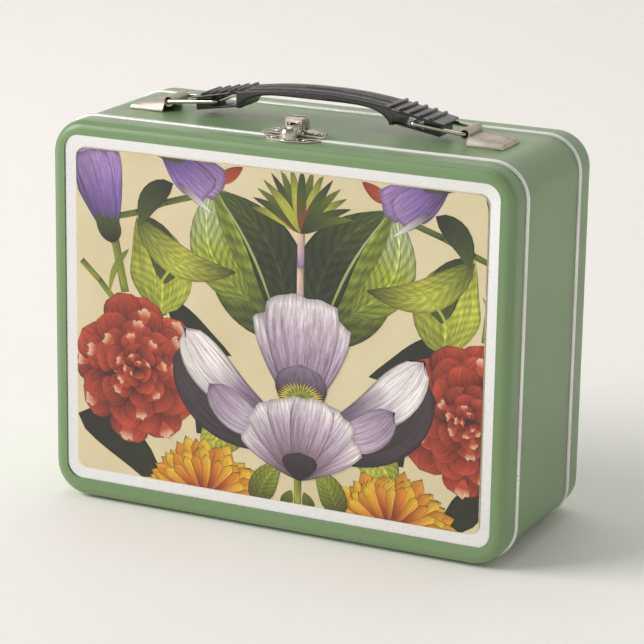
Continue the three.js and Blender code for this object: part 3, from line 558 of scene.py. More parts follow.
def width_along(kind, v):
    """How wide a petal or leaf is along its length, as a share of its widest."""
    if kind == "petal":
        return math.sin(math.pi * v**1.55) ** 0.5 * 0.98 + 0.02
    if kind == "fan":
        return 0.14 + 0.86 * math.sin(math.pi / 2 * min(1, v * 1.16)) ** 0.9 - 0.3 * max(0, v - 0.8)
    if kind == "ray":
        return (0.45 + 0.55 * v) * (1 - max(0, v - 0.86) / 0.14) ** 0.5 + 0.02
    if kind == "stem":
        return 1
    return math.sin(math.pi * v**0.8) ** 0.8 * 0.98 + 0.02


def petal(
    root, tip, width, level, tints, kind="petal", bend=0.0, wave=0.0, rows=9, across=6, shade=0.0,
    veins=0.0,
):
    """One printed shape from its root to its tip, in millimetres: a closed thin plate with colours
    from root to tip, and U across it and V along it. A bend curves its middle line, a wave ruffles
    its tip, a shade darkens one of its halves, and veins give it a leaf's ribs."""
    (x0, z0), (x1, z1) = root, tip
    dx, dz = x1 - x0, z1 - z0
    length = math.hypot(dx, dz)
    # The two halves of the picture meet at its axis, so one lies a little above the other.
    front = ART_FACE - (level + (RIGHT_HALF_STEP if x0 > AXIS else 0)) * INK_STEP
    start = len(petal_points)
    phase = draw.random() * 6
    grid = [(row, col) for row in range(rows + 1) for col in range(across + 1)]
    for back in (False, True):
        for row, col in grid:
            v, u = row / rows, 2 * col / across - 1
            sway = bend * math.sin(math.pi * v)
            # The middle line's own direction, so that the width stays square to it.
            lean = bend * math.pi * math.cos(math.pi * v)
            ux, uz = dx / length - dz / length * lean, dz / length + dx / length * lean
            size = math.hypot(ux, uz)
            half = width / 2 * width_along(kind, v) * u
            near_tip = max(0, v - RUFFLE_FROM) * RUFFLE_GAIN
            ruffle = wave * width * near_tip * (math.sin(4.4 * u + phase) + 0.6 * math.sin(9.7 * u))
            crown = CROWN_ROUND * width * u * u * near_tip if kind == "fan" else 0
            reach = v + (ruffle - crown) / length
            x = x0 + dx * reach - dz * sway - uz / size * half
            z = z0 + dz * reach + dx * sway + ux / size * half
            x, z = inside_panel(x * MM, z * MM)
            petal_points.append((x, ART_FACE + 0.1 * MM if back else front, z))
            stops = len(tints) - 1
            place = min(stops - 1, int(v * stops))
            tone = tint_between(tints[place], tints[place + 1], v * stops - place)
            dim = 1 - shade * (u + 0.3)
            petal_tints.append([part * dim for part in tone[:3]] + [1])
            petal_uvs.append((u, v))
            petal_edges.append(max(abs(u), abs(2 * v - 1) if kind != "leaf" else 0))
            petal_veins.append(veins)
    count = len(grid)
    wide = across + 1
    for row in range(rows):
        for col in range(across):
            a = start + row * wide + col
            petal_faces.append((a, a + 1, a + 1 + wide, a + wide))
            b = a + count
            petal_faces.append((b + wide, b + 1 + wide, b + 1, b))
    border = [start + col for col in range(wide)]
    border += [start + row * wide + across for row in range(1, rows + 1)]
    border += [start + rows * wide + col for col in range(across - 1, -1, -1)]
    border += [start + row * wide for row in range(rows - 1, 0, -1)]
    for i, a in enumerate(border):
        b = border[(i + 1) % len(border)]
        petal_faces.append((b, a, a + count, b + count))


def strand(points, width, level, tints):
    """A stem drawn as short joined runs through its points, each just above the one before."""
    for i, ((ax, az), (bx, bz)) in enumerate(zip(points, points[1:])):
        petal((ax, az), (bx, bz), width, level + 0.2 * i, tints, "stem", rows=2, across=4, shade=0.3)


def around(centre, turn, reach, squash=1.0):
    """The point at a turn and reach from a flower's centre. Turn 0 points up."""
    return centre[0] + reach * math.sin(turn), centre[1] + reach * math.cos(turn) * squash


CREAM_INK = colour("dccfa8")
MOSS, LIME, STRAW = colour("46551f"), colour("98a232"), colour("b4b742")
OLIVE, PINE, SAGE = colour("6c7a22"), colour("252f14"), colour("a9b891")
EMBER, BRICK, CORAL, BLUSH = colour("3a1009"), colour("90301b"), colour("bd4a2e"), colour("ecc9a4")
LILAC, MAUVE, PEARL = colour("8b7790"), colour("c2afc3"), colour("efe7e8")
PLUM = colour("3f3339")
LEMON, GOLD, AMBER, RUST = colour("efc936"), colour("e6a426"), colour("d87a20"), colour("9c4214")
VIOLET, IRIS, ORCHID = colour("33234d"), colour("7b5fa3"), colour("a889bd")
NIGHT = colour("1b1a17")


def both_sides(make):
    """Prints a motif on each side of the middle line. The maker gets a mirror function."""
    for side in (-1, 1):
        make(lambda x, z, side=side: (AXIS + side * x, z), side)


def corner_shadow(at, side):
    """The dark leaf tips behind the camellias."""
    petal(at(112, 40), at(66, 8), 18, 1, (NIGHT, PINE), "leaf", bend=-0.12 * side)
    petal(at(64, 100), at(33, 78), 13, 1.3, (NIGHT, PINE), "leaf", bend=0.1 * side)
    petal(at(50, 40), at(34, 71), 15, 2, (NIGHT, MOSS), "leaf", bend=0.08 * side, veins=0.5)


def branches(at, side):
    """The green stalks that carry the bells and the side leaf."""
    strand([at(104, 168), at(97, 148), at(92, 128), at(86, 100)], 4, 2.5, (OLIVE, LIME))
    strand([at(94, 133), at(80, 137), at(66, 143), at(50, 148), at(41, 151)], 2.8, 4, (MOSS, OLIVE))
    strand([at(108, 112), at(99, 104), at(90, 94)], 2.8, 5, (OLIVE, LIME))
    strand([at(66, 92), at(70, 102), at(74, 113)], 2.4, 5, (OLIVE, STRAW))
    strand([at(95, 134), at(90, 150), at(92, 168)], 2.6, 6, (PINE, LIME))
    petal(at(84, 120), at(94, 98), 3, 6.9, (OLIVE, LIME), "leaf", bend=0.1 * side)


def big_leaf(at, side):
    """A broad ribbed leaf that leans out from the middle, one half in light and one in shade."""
    tints = (PINE, OLIVE, OLIVE)
    petal(at(4, 89), at(41, 152), 47, 7, tints, "leaf", rows=18, across=12, veins=1.0)
    petal(at(7, 92), at(39, 151), 25, 7.5, (PINE, PINE, MOSS), "leaf", 0.17 * side, rows=14, veins=1.0)
    tints = (OLIVE, LIME, SAGE)
    petal(at(24, 104), at(44, 151), 20, 8, tints, "leaf", -0.2 * side, rows=12, veins=1.0)
    petal(at(12, 99), at(41, 151), 1.3, 8.5, (LIME, SAGE), "leaf", bend=0.05 * side)
    tints = (LIME, STRAW, LIME)
    petal(at(68, 92), at(80, 135), 31, 8.8, tints, "leaf", 0.12 * side, rows=12, shade=0.2, veins=0.7)
    petal(at(66, 106), at(76, 136), 15, 9, (MOSS, PINE), "leaf", bend=0.14 * side, veins=0.4)
    tints = (MOSS, STRAW, PINE)
    petal(at(80, 134), at(31, 116), 15, 9.3, tints, "leaf", 0.16 * side, rows=12, veins=0.6)
    petal(at(72, 98), at(47, 124), 1.4, 9.6, (STRAW, LIME), "leaf", bend=-0.12 * side)


def bells(at, side):
    """Two violet bell flowers at the top corners, in green cups."""
    for root, tip, wide in (((68, 168), (44, 149), 27), ((92, 122), (104, 163), 30)):
        for i, lean in enumerate((-9, 9, 0)):
            end = (tip[0] + lean * 0.7, tip[1] + abs(lean) * 0.4)
            tints = (VIOLET, IRIS, ORCHID)
            petal(at(*root), at(*end), wide * 0.6, 10 + i, tints, "fan", wave=0.03, shade=0.25)
        for i, lean in enumerate((-5, 5, 0)):
            end = (root[0] * 0.7 + tip[0] * 0.3 + lean, root[1] * 0.7 + tip[1] * 0.3)
            petal(at(*root), at(*end), 7, 13.5 + i * 0.3, (NIGHT, MOSS), "leaf")
    petal(at(62, 152), at(78, 131), 11, 9.8, (NIGHT, MOSS), "leaf", bend=0.15 * side)
    petal(at(60, 153), at(43, 141), 3, 15, (PLUM, PEARL), "leaf")
    petal(at(40, 155), at(28, 163), 6, 9.9, (CORAL, BRICK), "leaf", shade=0.2)


def camellia(at, side):
    """A full red camellia: rings of overlapping petals, each with a pale streak at its tip."""
    centre = at(80, 65)
    for ring, (reach, count, long, wide) in enumerate(
        (
            (31.5, 10, 19, 20),
            (26.5, 9, 17, 18),
            (21, 8, 15, 16),
            (15.5, 7, 12, 13),
            (11, 6, 10, 11),
            (7, 5, 7.5, 8.5),
            (4, 3, 5.5, 6),
        )
    ):
        for i in range(count):
            level = 16 + 4 * ring + 0.3 * i
            turn = math.tau * (i + 0.5 * draw.random()) / count + reach
            root = around(centre, turn, reach - long, 1.1)
            tip = around(centre, turn, reach * (0.96 + 0.1 * draw.random()), 1.12)
            lean = 0.1 * draw.uniform(-1, 1)
            dim = 0.34 * draw.uniform(-1, 1)
            petal(root, tip, wide, level, (NIGHT, EMBER, BRICK, CORAL), "petal", lean, 0, 10, shade=dim)
            if draw.random() > 0.45:
                low = around(centre, turn, reach - long * 0.45, 1.12)
                high = around(centre, turn, reach * 0.97, 1.12)
                tints = (CORAL, CORAL, BLUSH)
                petal(low, high, wide * 0.36, level + 0.15, tints, "fan", lean, 0.1, 8, 8)


def marigold(at, side):
    """A marigold cut by the picture's lower edge: long toothed rays in amber and gold."""
    centre = at(45, 9)
    for row, (reach, count, wide) in enumerate(((31, 23, 7.2), (28.5, 19, 6.2), (24, 15, 5.4))):
        for i in range(count):
            turn = math.radians(-104 + 208 * i / (count - 1)) + 0.06 * draw.uniform(-1, 1)
            root = around(centre, turn, 3)
            tip = around(centre, turn, reach * draw.uniform(0.9, 1.06), 0.92)
            tints = (RUST, AMBER, GOLD, LEMON) if i % 2 else (RUST, RUST, AMBER, GOLD)
            level = 11 + 4 * row + 0.17 * i
            petal(root, tip, wide, level, tints, "ray", 0, 0.06, 7, 6, 0.3)
    petal(at(20, 10), at(8, 33), 13, 24, (PINE, LIME), "leaf", bend=-0.1 * side, veins=0.8)


def low_leaves(at, side):
    """The veined calyx leaf beside the poppy's lower petals, and its thin stem."""
    strand([at(22, 50), at(17, 38), at(12, 24)], 2, 3.3, (OLIVE, LIME))
    strand([at(28, 51), at(42, 47)], 1.8, 3.8, (STRAW, OLIVE))
    tints = (OLIVE, STRAW, LIME)
    petal(at(26, 52), at(47, 29), 20, 9.5, tints, "leaf", 0.05 * side, rows=12, shade=0.2, veins=0.8)
    petal(at(7, 12), at(3, 21), 6, 4, (PINE, OLIVE), "leaf")


for motif in (corner_shadow, branches, big_leaf, bells, camellia, marigold, low_leaves):
    both_sides(motif)

strand([(AXIS, 158), (AXIS, 140), (AXIS, 122), (AXIS, 98)], 3.4, 10, (BLUSH, ORCHID))
strand([(AXIS, 48), (AXIS, 30), (AXIS, 10)], 3.6, 3, (OLIVE, STRAW))
for i in range(15):
    turn = math.radians(-70 + 10 * i)
    root = (AXIS, 137)
    tip = around(root, turn, 31 - 0.7 * abs(i - 7))
    tints = ((LIME, STRAW, MOSS), (BRICK, MOSS, PINE), (PINE, MOSS, OLIVE))[i % 3]
    petal(root, tip, 4.6, 11 + 0.3 * (i % 4) + 0.01 * i, tints, "leaf", bend=0.08 * (i - 7) / 7)

# The poppy: one broad back petal, two side petals like wings with shaded undersides, a pod with
# a ring of stamens, and a ruffled cup of front petals.
HEART = (AXIS + 1, 64)
for turn, reach, wide, level in ((-17, 41, 27, 36), (17, 41, 27, 36.5), (0, 46, 36, 37)):
    tip = around(HEART, math.radians(turn), reach)
    root = (HEART[0], HEART[1] - 8)
    tints = (PLUM, LILAC, MAUVE, PEARL)
    petal(root, tip, wide, level, tints, "fan", 0, 0.02, 14, 14, 0.12)
for side in (-1, 1):
    spot = (lambda x, z, side=side: (HEART[0] + side * x, z))
    bend = -0.15 * side
    petal(spot(6, 40), spot(57, 82), 30, 34, (NIGHT, PLUM, PLUM), "petal", bend, rows=14)
    tints = (PLUM, LILAC, PEARL, PEARL)
    petal(spot(12, 53), spot(57, 88), 21, 35, tints, "petal", bend * 0.75, 0.04, 14, 10, 0.1)
    petal(spot(8, 48), spot(44, 64), 17, 35.5, (PLUM, MAUVE, LILAC), "petal", bend, 0.03, 12, 8)
petal((HEART[0], 52), (HEART[0], 79), 25, 39, (PLUM, PLUM, LILAC), "petal")
for i in range(37):
    turn = math.tau * i / 37
    tip = around(HEART, turn, 11 + draw.random(), 0.62)
    tints = (MOSS, STRAW, LEMON)
    petal(HEART, tip, 0.9, 40 + 0.1 * (i % 9), tints, "ray", rows=3, across=4)
for i in range(17):
    tip = around(HEART, math.tau * i / 17, 7.5, 0.62)
    petal(HEART, tip, 1.7, 42 + 0.1 * i, (MOSS, LIME, MOSS), "leaf", rows=4, across=4)
CUP = (HEART[0], 27)
for turn, reach, wide, level in (
    (-50, 33, 17, 44),
    (50, 34, 17, 44.5),
    (-31, 37, 20, 45),
    (31, 38, 20, 45.5),
    (-11, 37, 21, 46),
    (11, 38, 21, 46.5),
):
    tip = around(CUP, math.radians(turn), reach)
    tints = (PLUM, colour("8b7485"), MAUVE, PEARL)
    petal(CUP, tip, wide, level, tints, "fan", 0, 0.025, 12, 10, 0.15)
petal((HEART[0], 26), (HEART[0], 39), 17, 48, (NIGHT, PLUM), "petal")

# The sheet that carries the print, under all the petals.
paper = []
for x, z, start in ((1, -1, -90), (1, 1, 0), (-1, 1, 90), (-1, -1, 180)):
    for step in range(CORNER_STEPS + 1):
        turn = math.radians(start + 90 * step / CORNER_STEPS)
        cx = x * (art_high.x - ART_CORNER)
        cz = art_high.z - ART_CORNER if z > 0 else art_low.z + ART_CORNER
        paper.append((cx + ART_CORNER * math.cos(turn), cz + ART_CORNER * math.sin(turn)))
start = len(petal_points)
size = len(paper)
for y in (ART_FACE, art_high.y):
    petal_points += [(x, y, z) for x, z in paper]
    petal_tints += [CREAM_INK] * size
    petal_uvs += [(0.0, 0.5)] * size
    petal_edges += [0.0] * size
    petal_veins += [0.0] * size
petal_faces.append(tuple(start + i for i in range(size)))
petal_faces.append(tuple(start + size + i for i in reversed(range(size))))
for i in range(size):
    j = (i + 1) % size
    petal_faces.append((start + j, start + i, start + size + i, start + size + j))

mesh = bpy.data.meshes.new("flower_print")
mesh.from_pydata(petal_points, [], petal_faces)
for name, kind in (("ink", "FLOAT_COLOR"), ("rim", "FLOAT"), ("veins", "FLOAT")):
    mesh.attributes.new(name, kind, "POINT")
mesh.uv_layers.new(name="along")
flat_tints = [part for tint in petal_tints for part in tint]
mesh.attributes["ink"].data.foreach_set("color", flat_tints)
for name, values in (("rim", petal_edges), ("veins", petal_veins)):
    mesh.attributes[name].data.foreach_set("value", values)
for corner, loop in zip(mesh.uv_layers["along"].data, mesh.loops):
    corner.uv = petal_uvs[loop.vertex_index]

print_ink, tree, shader = finish("print_ink", 0.34, Coat_Weight=0.35, Coat_Roughness=0.12)
ink = put(tree, "ShaderNodeAttribute", attribute_name="ink").outputs["Color"]
rim = put(tree, "ShaderNodeAttribute", attribute_name="rim").outputs["Fac"]
along = put(tree, "ShaderNodeUVMap", uv_map="along").outputs[0]
parts = put(tree, "ShaderNodeSeparateXYZ", {0: along}).outputs
place = put(tree, "ShaderNodeTexCoord").outputs["Object"]
stretched = {n: sum_of(tree, "MULTIPLY", parts[n], by) for n, by in ((0, 9.0), (1, 1.1))}
stretched = put(tree, "ShaderNodeCombineXYZ", stretched).outputs[0]
drift = put(tree, "ShaderNodeVectorMath", {0: place, 1: (40, 40, 40)}, operation="MULTIPLY")
streaky = put(tree, "ShaderNodeVectorMath", {0: stretched, 1: drift.outputs[0]}, operation="ADD")
streaks = noise_of(tree, streaky.outputs[0], 1.4, 5.0, 0.7)
hatching = noise_of(tree, streaky.outputs[0], 4.2, 3.0, 0.6)
light = spread_of(tree, streaks, 0.3, 0.7, 0.45, 1.5)
light = sum_of(tree, "MULTIPLY", light, spread_of(tree, hatching, 0.3, 0.7, 0.78, 1.2))
outline = spread_of(tree, rim, 0.86, 1.0, 1, 0.5)
light = sum_of(tree, "MULTIPLY", light, outline)
# A leaf's side ribs slant up from its pale middle rib, and its skin puffs up between them.
veins = put(tree, "ShaderNodeAttribute", attribute_name="veins").outputs["Fac"]
from_middle = sum_of(tree, "ABSOLUTE", parts[0])
slant = sum_of(tree, "MULTIPLY", parts[1], 62.0)
slant = sum_of(tree, "SUBTRACT", slant, sum_of(tree, "MULTIPLY", from_middle, 14.0))
slant = sum_of(tree, "ADD", slant, sum_of(tree, "MULTIPLY", streaks, 5.0))
puffed = spread_of(tree, sum_of(tree, "SINE", slant), -1, 1, 0.7, 1.22)
middle_rib = spread_of(tree, from_middle, 0.02, 0.07, 1.9, 1.0)
ribbed = sum_of(tree, "MULTIPLY", puffed, middle_rib)
ribbed = sum_of(tree, "ADD", 1, sum_of(tree, "MULTIPLY", veins, sum_of(tree, "SUBTRACT", ribbed, 1)))
light = sum_of(tree, "MULTIPLY", light, ribbed)
is_petal = spread_of(tree, rim, 0, 0.01)
plain = sum_of(tree, "SUBTRACT", 1, is_petal)
light = sum_of(tree, "ADD", sum_of(tree, "MULTIPLY", light, is_petal), plain)
tone = put(tree, "ShaderNodeVectorMath", {0: ink, 3: light}, operation="SCALE").outputs[0]
aged = noise_of(tree, place, 22.0, 5.0, 0.6)
tone = blend_of(tree, spread_of(tree, aged, 0.42, 0.75, 0, 0.22), tone, colour("b9a878"), "MULTIPLY")
signs = skin_of(tree, 1400.0, 26.0)
gloss = spread_of(tree, signs["Smudges"], 0, 1, 0.3, 0.44)
dress(tree, shader, tone, gloss, signs["Height"], 0.12, 0.03 * MM)
belongs(placed("flower_print", mesh), "lid", print_ink, "print", "art_panel")


# ---- The hinges ---------------------------------------------------------------------------------
# Two small butt hinges join the lid to the band underneath the front seam. Each has nickelled
# leaves inside the box, three knuckles on a steel pin, and flat-headed rivets through the sheet.

def plated(name, bright, dull, shiniest, dullest):
    """A nickel plating between two tones and two glosses, with fine scratches from the press."""
    metal, tree, shader = finish(name, shiniest, 1.0)
    signs = skin_of(tree, 2200.0, 80.0)
    place = put(tree, "ShaderNodeTexCoord").outputs["Object"]
    combed = put(tree, "ShaderNodeMapping", {"Vector": place, "Scale": (260, 2400, 260)})
    scratches = spread_of(tree, noise_of(tree, combed.outputs[0], 1.0, 2.0), 0.35, 0.75)
    tone = blend_of(tree, signs["Smudges"], colour(bright), colour(dull))
    worn = spread_of(tree, signs["Smudges"], 0, 1, shiniest, dullest)
    gloss = sum_of(tree, "ADD", worn, spread_of(tree, scratches, 0, 1, 0, 0.1))
    relief = sum_of(tree, "ADD", signs["Height"], scratches)
    dress(tree, shader, tone, gloss, relief, 0.12, 0.03 * MM)
    return metal


nickel = plated("nickel", "ded8cc", "c0b8aa", 0.1, 0.2)

WELD = 0.002 * MM
FLAT, EASED_FROM, EASED_FOLD = (math.radians(angle) for angle in (1, 40, 32))
LEAF_EDGE, PIN_EDGE = 0.08 * MM, 0.12 * MM


def eased(node, name, edge):
    """A copy of a CAD piece with its facets merged and its sharp edges rounded off."""
    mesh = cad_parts[node].data.copy()
    work = bmesh.new()
    work.from_mesh(mesh)
    bmesh.ops.remove_doubles(work, verts=work.verts, dist=WELD)
    bmesh.ops.dissolve_limit(work, angle_limit=FLAT, verts=work.verts, edges=work.edges)
    work.to_mesh(mesh)
    work.free()
    mesh.materials.clear()
    piece = in_scene(name, mesh)
    step = piece.modifiers.new("round", "BEVEL")
    step.width = edge
    step.segments = 3
    step.limit_method = "ANGLE"
    step.angle_limit = EASED_FROM
    mesh = made_plain(piece)
    bpy.data.objects.remove(piece)
    return placed(name, mesh, EASED_FOLD)


for side in ("left", "right"):
    for body in ("body", "lid"):
        node = f"{side}_hinge_{body}_leaf"
        belongs(eased(node, node + "_plate", LEAF_EDGE), body, nickel, "nickel", node)
    node = f"{side}_hinge_pin"
    belongs(eased(node, node + "_rod", PIN_EDGE), "body", nickel, "nickel", node)

row_tree, given, out = shape_tree(
    "repeat_in_a_row",
    {"Piece": "Object", "Count": "Int", "First": "Vector", "Step": "Vector", "Metal": "Material"},
)
line = {"Count": given["Count"], "Start Location": given["First"], "Offset": given["Step"]}
spots = put(row_tree, "GeometryNodeMeshLine", line).outputs[0]
source = put(row_tree, "GeometryNodeObjectInfo", {"Object": given["Piece"]}).outputs["Geometry"]
copies = put(row_tree, "GeometryNodeInstanceOnPoints", {"Points": spots, "Instance": source})
end_tree(row_tree, copies.outputs[0], given["Metal"], out)


def turned(name, profile, sides=20):
    """A closed turned piece about the Z axis, from its profile of radius and height."""
    rings = []
    for radius, height in profile:
        turns = [math.tau * i / sides for i in range(sides)]
        rings.append([Vector((radius * math.cos(t), radius * math.sin(t), height)) for t in turns])
    return stitched(name, rings, True)


RIVET_HEADS, RIVET_UNDER, RIVET_BORE = 0.95 * MM, 0.5 * MM, 0.3 * MM


def rivet_stock(name, shank, head_up):
    """A rivet of the given shank length, its made head up or down and its upset head opposite."""
    dome = ((1.1, 0.5), (1.45, 0.36), (1.66, 0.14), (1.7, 0), (0.8, 0))
    upset = ((1.55, 0.5), (1.65, 0.3), (1.5, 0), (0.8, 0))
    top, under = (dome, upset) if head_up else (upset, dome)
    profile = [(r * MM, -h * MM) for r, h in under]
    profile += [(r * MM, shank + h * MM) for r, h in reversed(top)]
    ends = [(RIVET_BORE, profile[end][1]) for end in (0, -1)]
    return turned(name, ends[:1] + profile + ends[1:])


def rivet_pair(name, body, left_node, right_node, head_up):
    """Both rivets of a pair, in the places of their two nodes."""
    low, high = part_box(left_node)
    stock = rivet_stock("rivet_stock", high.z - low.z - RIVET_HEADS, head_up)
    first = Vector(((low.x + high.x) / 2, (low.y + high.y) / 2, low.z + RIVET_UNDER))
    step = Vector((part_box(right_node)[0].x - low.x, 0, 0))
    pair = grown(name, row_tree, Piece=stock, Count=2, First=first, Step=step, Metal=nickel)
    bpy.data.objects.remove(stock)
    belongs(pair, body, None, "nickel", left_node, right_node)


for side in ("left", "right"):
    for body in ("body", "lid"):
        outer, inner = (f"{side}_hinge_{body}_rivet_{word}" for word in ("outer", "inner"))
        pair = (outer, inner) if side == "left" else (inner, outer)
        rivet_pair(f"{side}_hinge_{body}_rivets", body, *pair, False)


# ---- The latch ----------------------------------------------------------------------------------
# A nickelled snap hasp closes the box on top. Its plate on the band has a rope-like rolled edge,
# the plate on the lid carries a drawn nose, and the folded hasp swings over the nose on a pin.

LATCH_EDGE = 0.16 * MM
ROPE_OUT, ROPE_RISE, ROPE_STEPS = 0.3 * MM, 1.9 * MM, 48
SCALLOPS, SCALLOP_DEPTH, BELLY = 12, 0.035, 0.8
STRANDS, STRAND_THICK, STRAND_LAY, STRAND_LONG = 58, 0.5 * MM, 0.6, 1.9
NOSE_FROM_FRONT, NOSE_CENTRE = 9.1 * MM, 2.7 * MM
for node, body, name in (
    ("latch_body_plate", "body", "latch_base"),
    ("latch_lid_plate", "lid", "latch_nose_plate"),
    ("latch_hasp", "hasp", "latch_snap"),
):
    belongs(eased(node, name, LATCH_EDGE), body, nickel, "nickel", node)

rope_tree, given, out = shape_tree(
    "rope_edge",
    {"Path": "Object", "Strands": "Int", "Thickness": "Float", "Lay": "Float", "Metal": "Material"},
)
line = put(rope_tree, "GeometryNodeObjectInfo", {"Object": given["Path"]}).outputs["Geometry"]
line = put(rope_tree, "GeometryNodeMeshToCurve", {0: line}).outputs[0]
line = put(rope_tree, "GeometryNodeResampleCurve", {"Curve": line, "Count": given["Strands"]})
strand_size = put(rope_tree, "ShaderNodeCombineXYZ", {0: 1.0, 1: 1.0, 2: STRAND_LONG}).outputs[0]
ball = {"Radius": given["Thickness"], "Subdivisions": 2}
ball = put(rope_tree, "GeometryNodeMeshIcoSphere", ball).outputs[0]
lay = put(rope_tree, "ShaderNodeCombineXYZ", {1: given["Lay"]}).outputs[0]
strand_piece = {"Geometry": ball, "Rotation": lay, "Scale": strand_size}
strand_piece = put(rope_tree, "GeometryNodeTransform", strand_piece).outputs[0]
along = put(rope_tree, "GeometryNodeInputTangent").outputs[0]
aim = put(rope_tree, "FunctionNodeAlignRotationToVector", {"Vector": along}, axis="Z").outputs[0]
laid = {"Points": line.outputs[0], "Instance": strand_piece, "Rotation": aim}
laid = put(rope_tree, "GeometryNodeInstanceOnPoints", laid).outputs[0]
end_tree(rope_tree, laid, given["Metal"], out)


plate_low, plate_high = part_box("latch_body_plate")
LATCH_X = (plate_low.x + plate_high.x) / 2
LATCH_HALF = (plate_high.x - plate_low.x) / 2
plate_reach = plate_high.y - plate_low.y
edge_path = []
for step in range(ROPE_STEPS + 1):
    turn = math.pi * step / ROPE_STEPS
    wave = 1 + SCALLOP_DEPTH * math.cos(SCALLOPS * turn)
    x = LATCH_X + (LATCH_HALF + ROPE_OUT) * math.cos(turn) * wave
    y = plate_low.y + ROPE_OUT + plate_reach * math.sin(turn) ** BELLY * wave
    edge_path.append((x, y, WALL_TOP + ROPE_RISE))
mesh = bpy.data.meshes.new("rope_path")
mesh.from_pydata(edge_path, [(i, i + 1) for i in range(ROPE_STEPS)], [])
path = in_scene("rope_path", mesh)
sizes = {"Path": path, "Strands": STRANDS, "Thickness": STRAND_THICK, "Lay": STRAND_LAY}
rope = grown("latch_rope_edge", rope_tree, Metal=nickel, **sizes)
bpy.data.objects.remove(path)
belongs(rope, "body", None, "nickel", "latch_body_plate")

# The nose's drawn head: a smooth half ball that stands proud of the lid's plate.
nose = [(0.05, 3.9), (0.9, 3.78), (1.9, 3.4), (2.8, 2.72), (3.45, 1.8), (3.8, 0.8), (3.86, 0)]
nose += [(3.8, -0.7), (3.9, -1.3), (4.5, -1.75), (4.6, -2.0), (0.05, -2.0)]
head = turned("latch_nose", [(radius * MM, height * MM) for radius, height in reversed(nose)], 32)
head.data.transform(Matrix.Translation((LATCH_X, FRONT + NOSE_FROM_FRONT, WALL_TOP + NOSE_CENTRE)))
belongs(head, "lid", nickel, "nickel", "latch_lid_plate")

for body in ("body", "lid"):
    pair = (f"latch_{body}_rivet_{side}" for side in ("left", "right"))
    rivet_pair(f"latch_{body}_rivets", body, *pair, True)


# ---- The handle's brackets and links -------------------------------------------------------------
# A folded steel bracket at each end holds a rolled knuckle. A bright wire loop turns in it and
# reaches into the end of the grip, so that the grip lifts off the box and settles down again.

dull_nickel = plated("dull_nickel", "c9c2b5", "a8a092", 0.34, 0.46)


def joined(name, parts, sharp):
    """Several pieces made into one."""
    whole = bmesh.new()
    for part in parts:
        whole.from_mesh(part.data)
        bpy.data.objects.remove(part)
    mesh = bpy.data.meshes.new(name)
    whole.to_mesh(mesh)
    whole.free()
    return placed(name, mesh, sharp)


LINK_WIRE, LINK_BEND, FOLD_EDGE = 0.95 * MM, 1.6 * MM, 0.25 * MM
KNUCKLE_RISE, BRACKET_REACH, MOUTH = 4.8 * MM, 18.6 * MM, 1.9 * MM
CURL_OUT, CURL_IN, CURL_HALF, CURL_EDGE = 2.55 * MM, 1.75 * MM, 7.4 * MM, 0.15 * MM
CURL_SIDES = 32
PLATE_LENGTH, PLATE_IN_TOP, PLATE_OUT_TOP = 16.0 * MM, 4.2 * MM, 2.1 * MM
HEM_ENDS, HEM_SIDES, HEM_BACK, HEM_SINK = 3.2 * MM, 1.5 * MM, 0.4 * MM, 0.02 * MM
HEM_CORNER, HEM_THICK = 0.9 * MM, 0.2 * MM
for side, sign in (("left", -1), ("right", 1)):
    node = f"{side}_handle_bracket"
    low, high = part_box(node)
    fold = eased(node, node + "_fold", FOLD_EDGE)
    knuckle_x = sign * (max(abs(low.x), abs(high.x)) - BRACKET_REACH)
    near = Vector((knuckle_x + sign * MOUTH, low.y - MM, low.z - MM))
    cut_away(fold, near, Vector((knuckle_x - sign * BRACKET_REACH, high.y + MM, high.z + MM)))
    middle_y = (low.y + high.y) / 2
    curl = []
    for radius, half in (
        (CURL_OUT - CURL_EDGE, CURL_HALF),
        (CURL_OUT, CURL_HALF - CURL_EDGE),
        (CURL_OUT, CURL_EDGE - CURL_HALF),
        (CURL_OUT - CURL_EDGE, -CURL_HALF),
        (CURL_IN + CURL_EDGE, -CURL_HALF),
        (CURL_IN, CURL_EDGE - CURL_HALF),
        (CURL_IN, CURL_HALF - CURL_EDGE),
        (CURL_IN + CURL_EDGE, CURL_HALF),
    ):
        turns = [math.tau * i / CURL_SIDES for i in range(CURL_SIDES)]
        curl.append([Vector((radius * math.cos(t), half, radius * math.sin(t))) for t in turns])
    tube = stitched("curl", curl)
    tube.data.transform(Matrix.Translation((knuckle_x, middle_y, WALL_TOP + KNUCKLE_RISE)))
    # The hem: a fine raised line a little way in from the edges of the bracket's flat top.
    slope = math.atan2(PLATE_IN_TOP - PLATE_OUT_TOP, PLATE_LENGTH)
    hem_x = knuckle_x + sign * (MOUTH + PLATE_LENGTH / 2 - HEM_BACK)
    hem_z = WALL_TOP + (PLATE_IN_TOP + PLATE_OUT_TOP) / 2 - HEM_SINK
    hem = grown(
        "hem",
        wire_tree,
        Width=PLATE_LENGTH - HEM_ENDS,
        Height=2 * CURL_HALF - HEM_SIDES,
        Corner=HEM_CORNER,
        Thickness=HEM_THICK,
        Flatness=0,
        Centre=(hem_x, middle_y, hem_z),
        Turn=(0, sign * slope, 0),
        Metal=dull_nickel,
    )
    whole = joined(node + "_fold", (fold, tube, hem), EASED_FOLD)
    belongs(whole, "body", dull_nickel, "nickel", node)
    node = f"{side}_handle_link"
    low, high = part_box(node)
    length, height, rise = high - low - Vector((2 * LINK_WIRE,) * 3)
    loop = grown(
        node + "_wire",
        wire_tree,
        Width=math.hypot(length, rise),
        Height=height,
        Corner=LINK_BEND,
        Thickness=LINK_WIRE,
        Flatness=0,
        Centre=(low + high) / 2,
        Turn=(0, sign * math.atan2(rise, length), 0),
        Metal=nickel,
    )
    belongs(loop, f"{side}_link", None, "nickel", node)


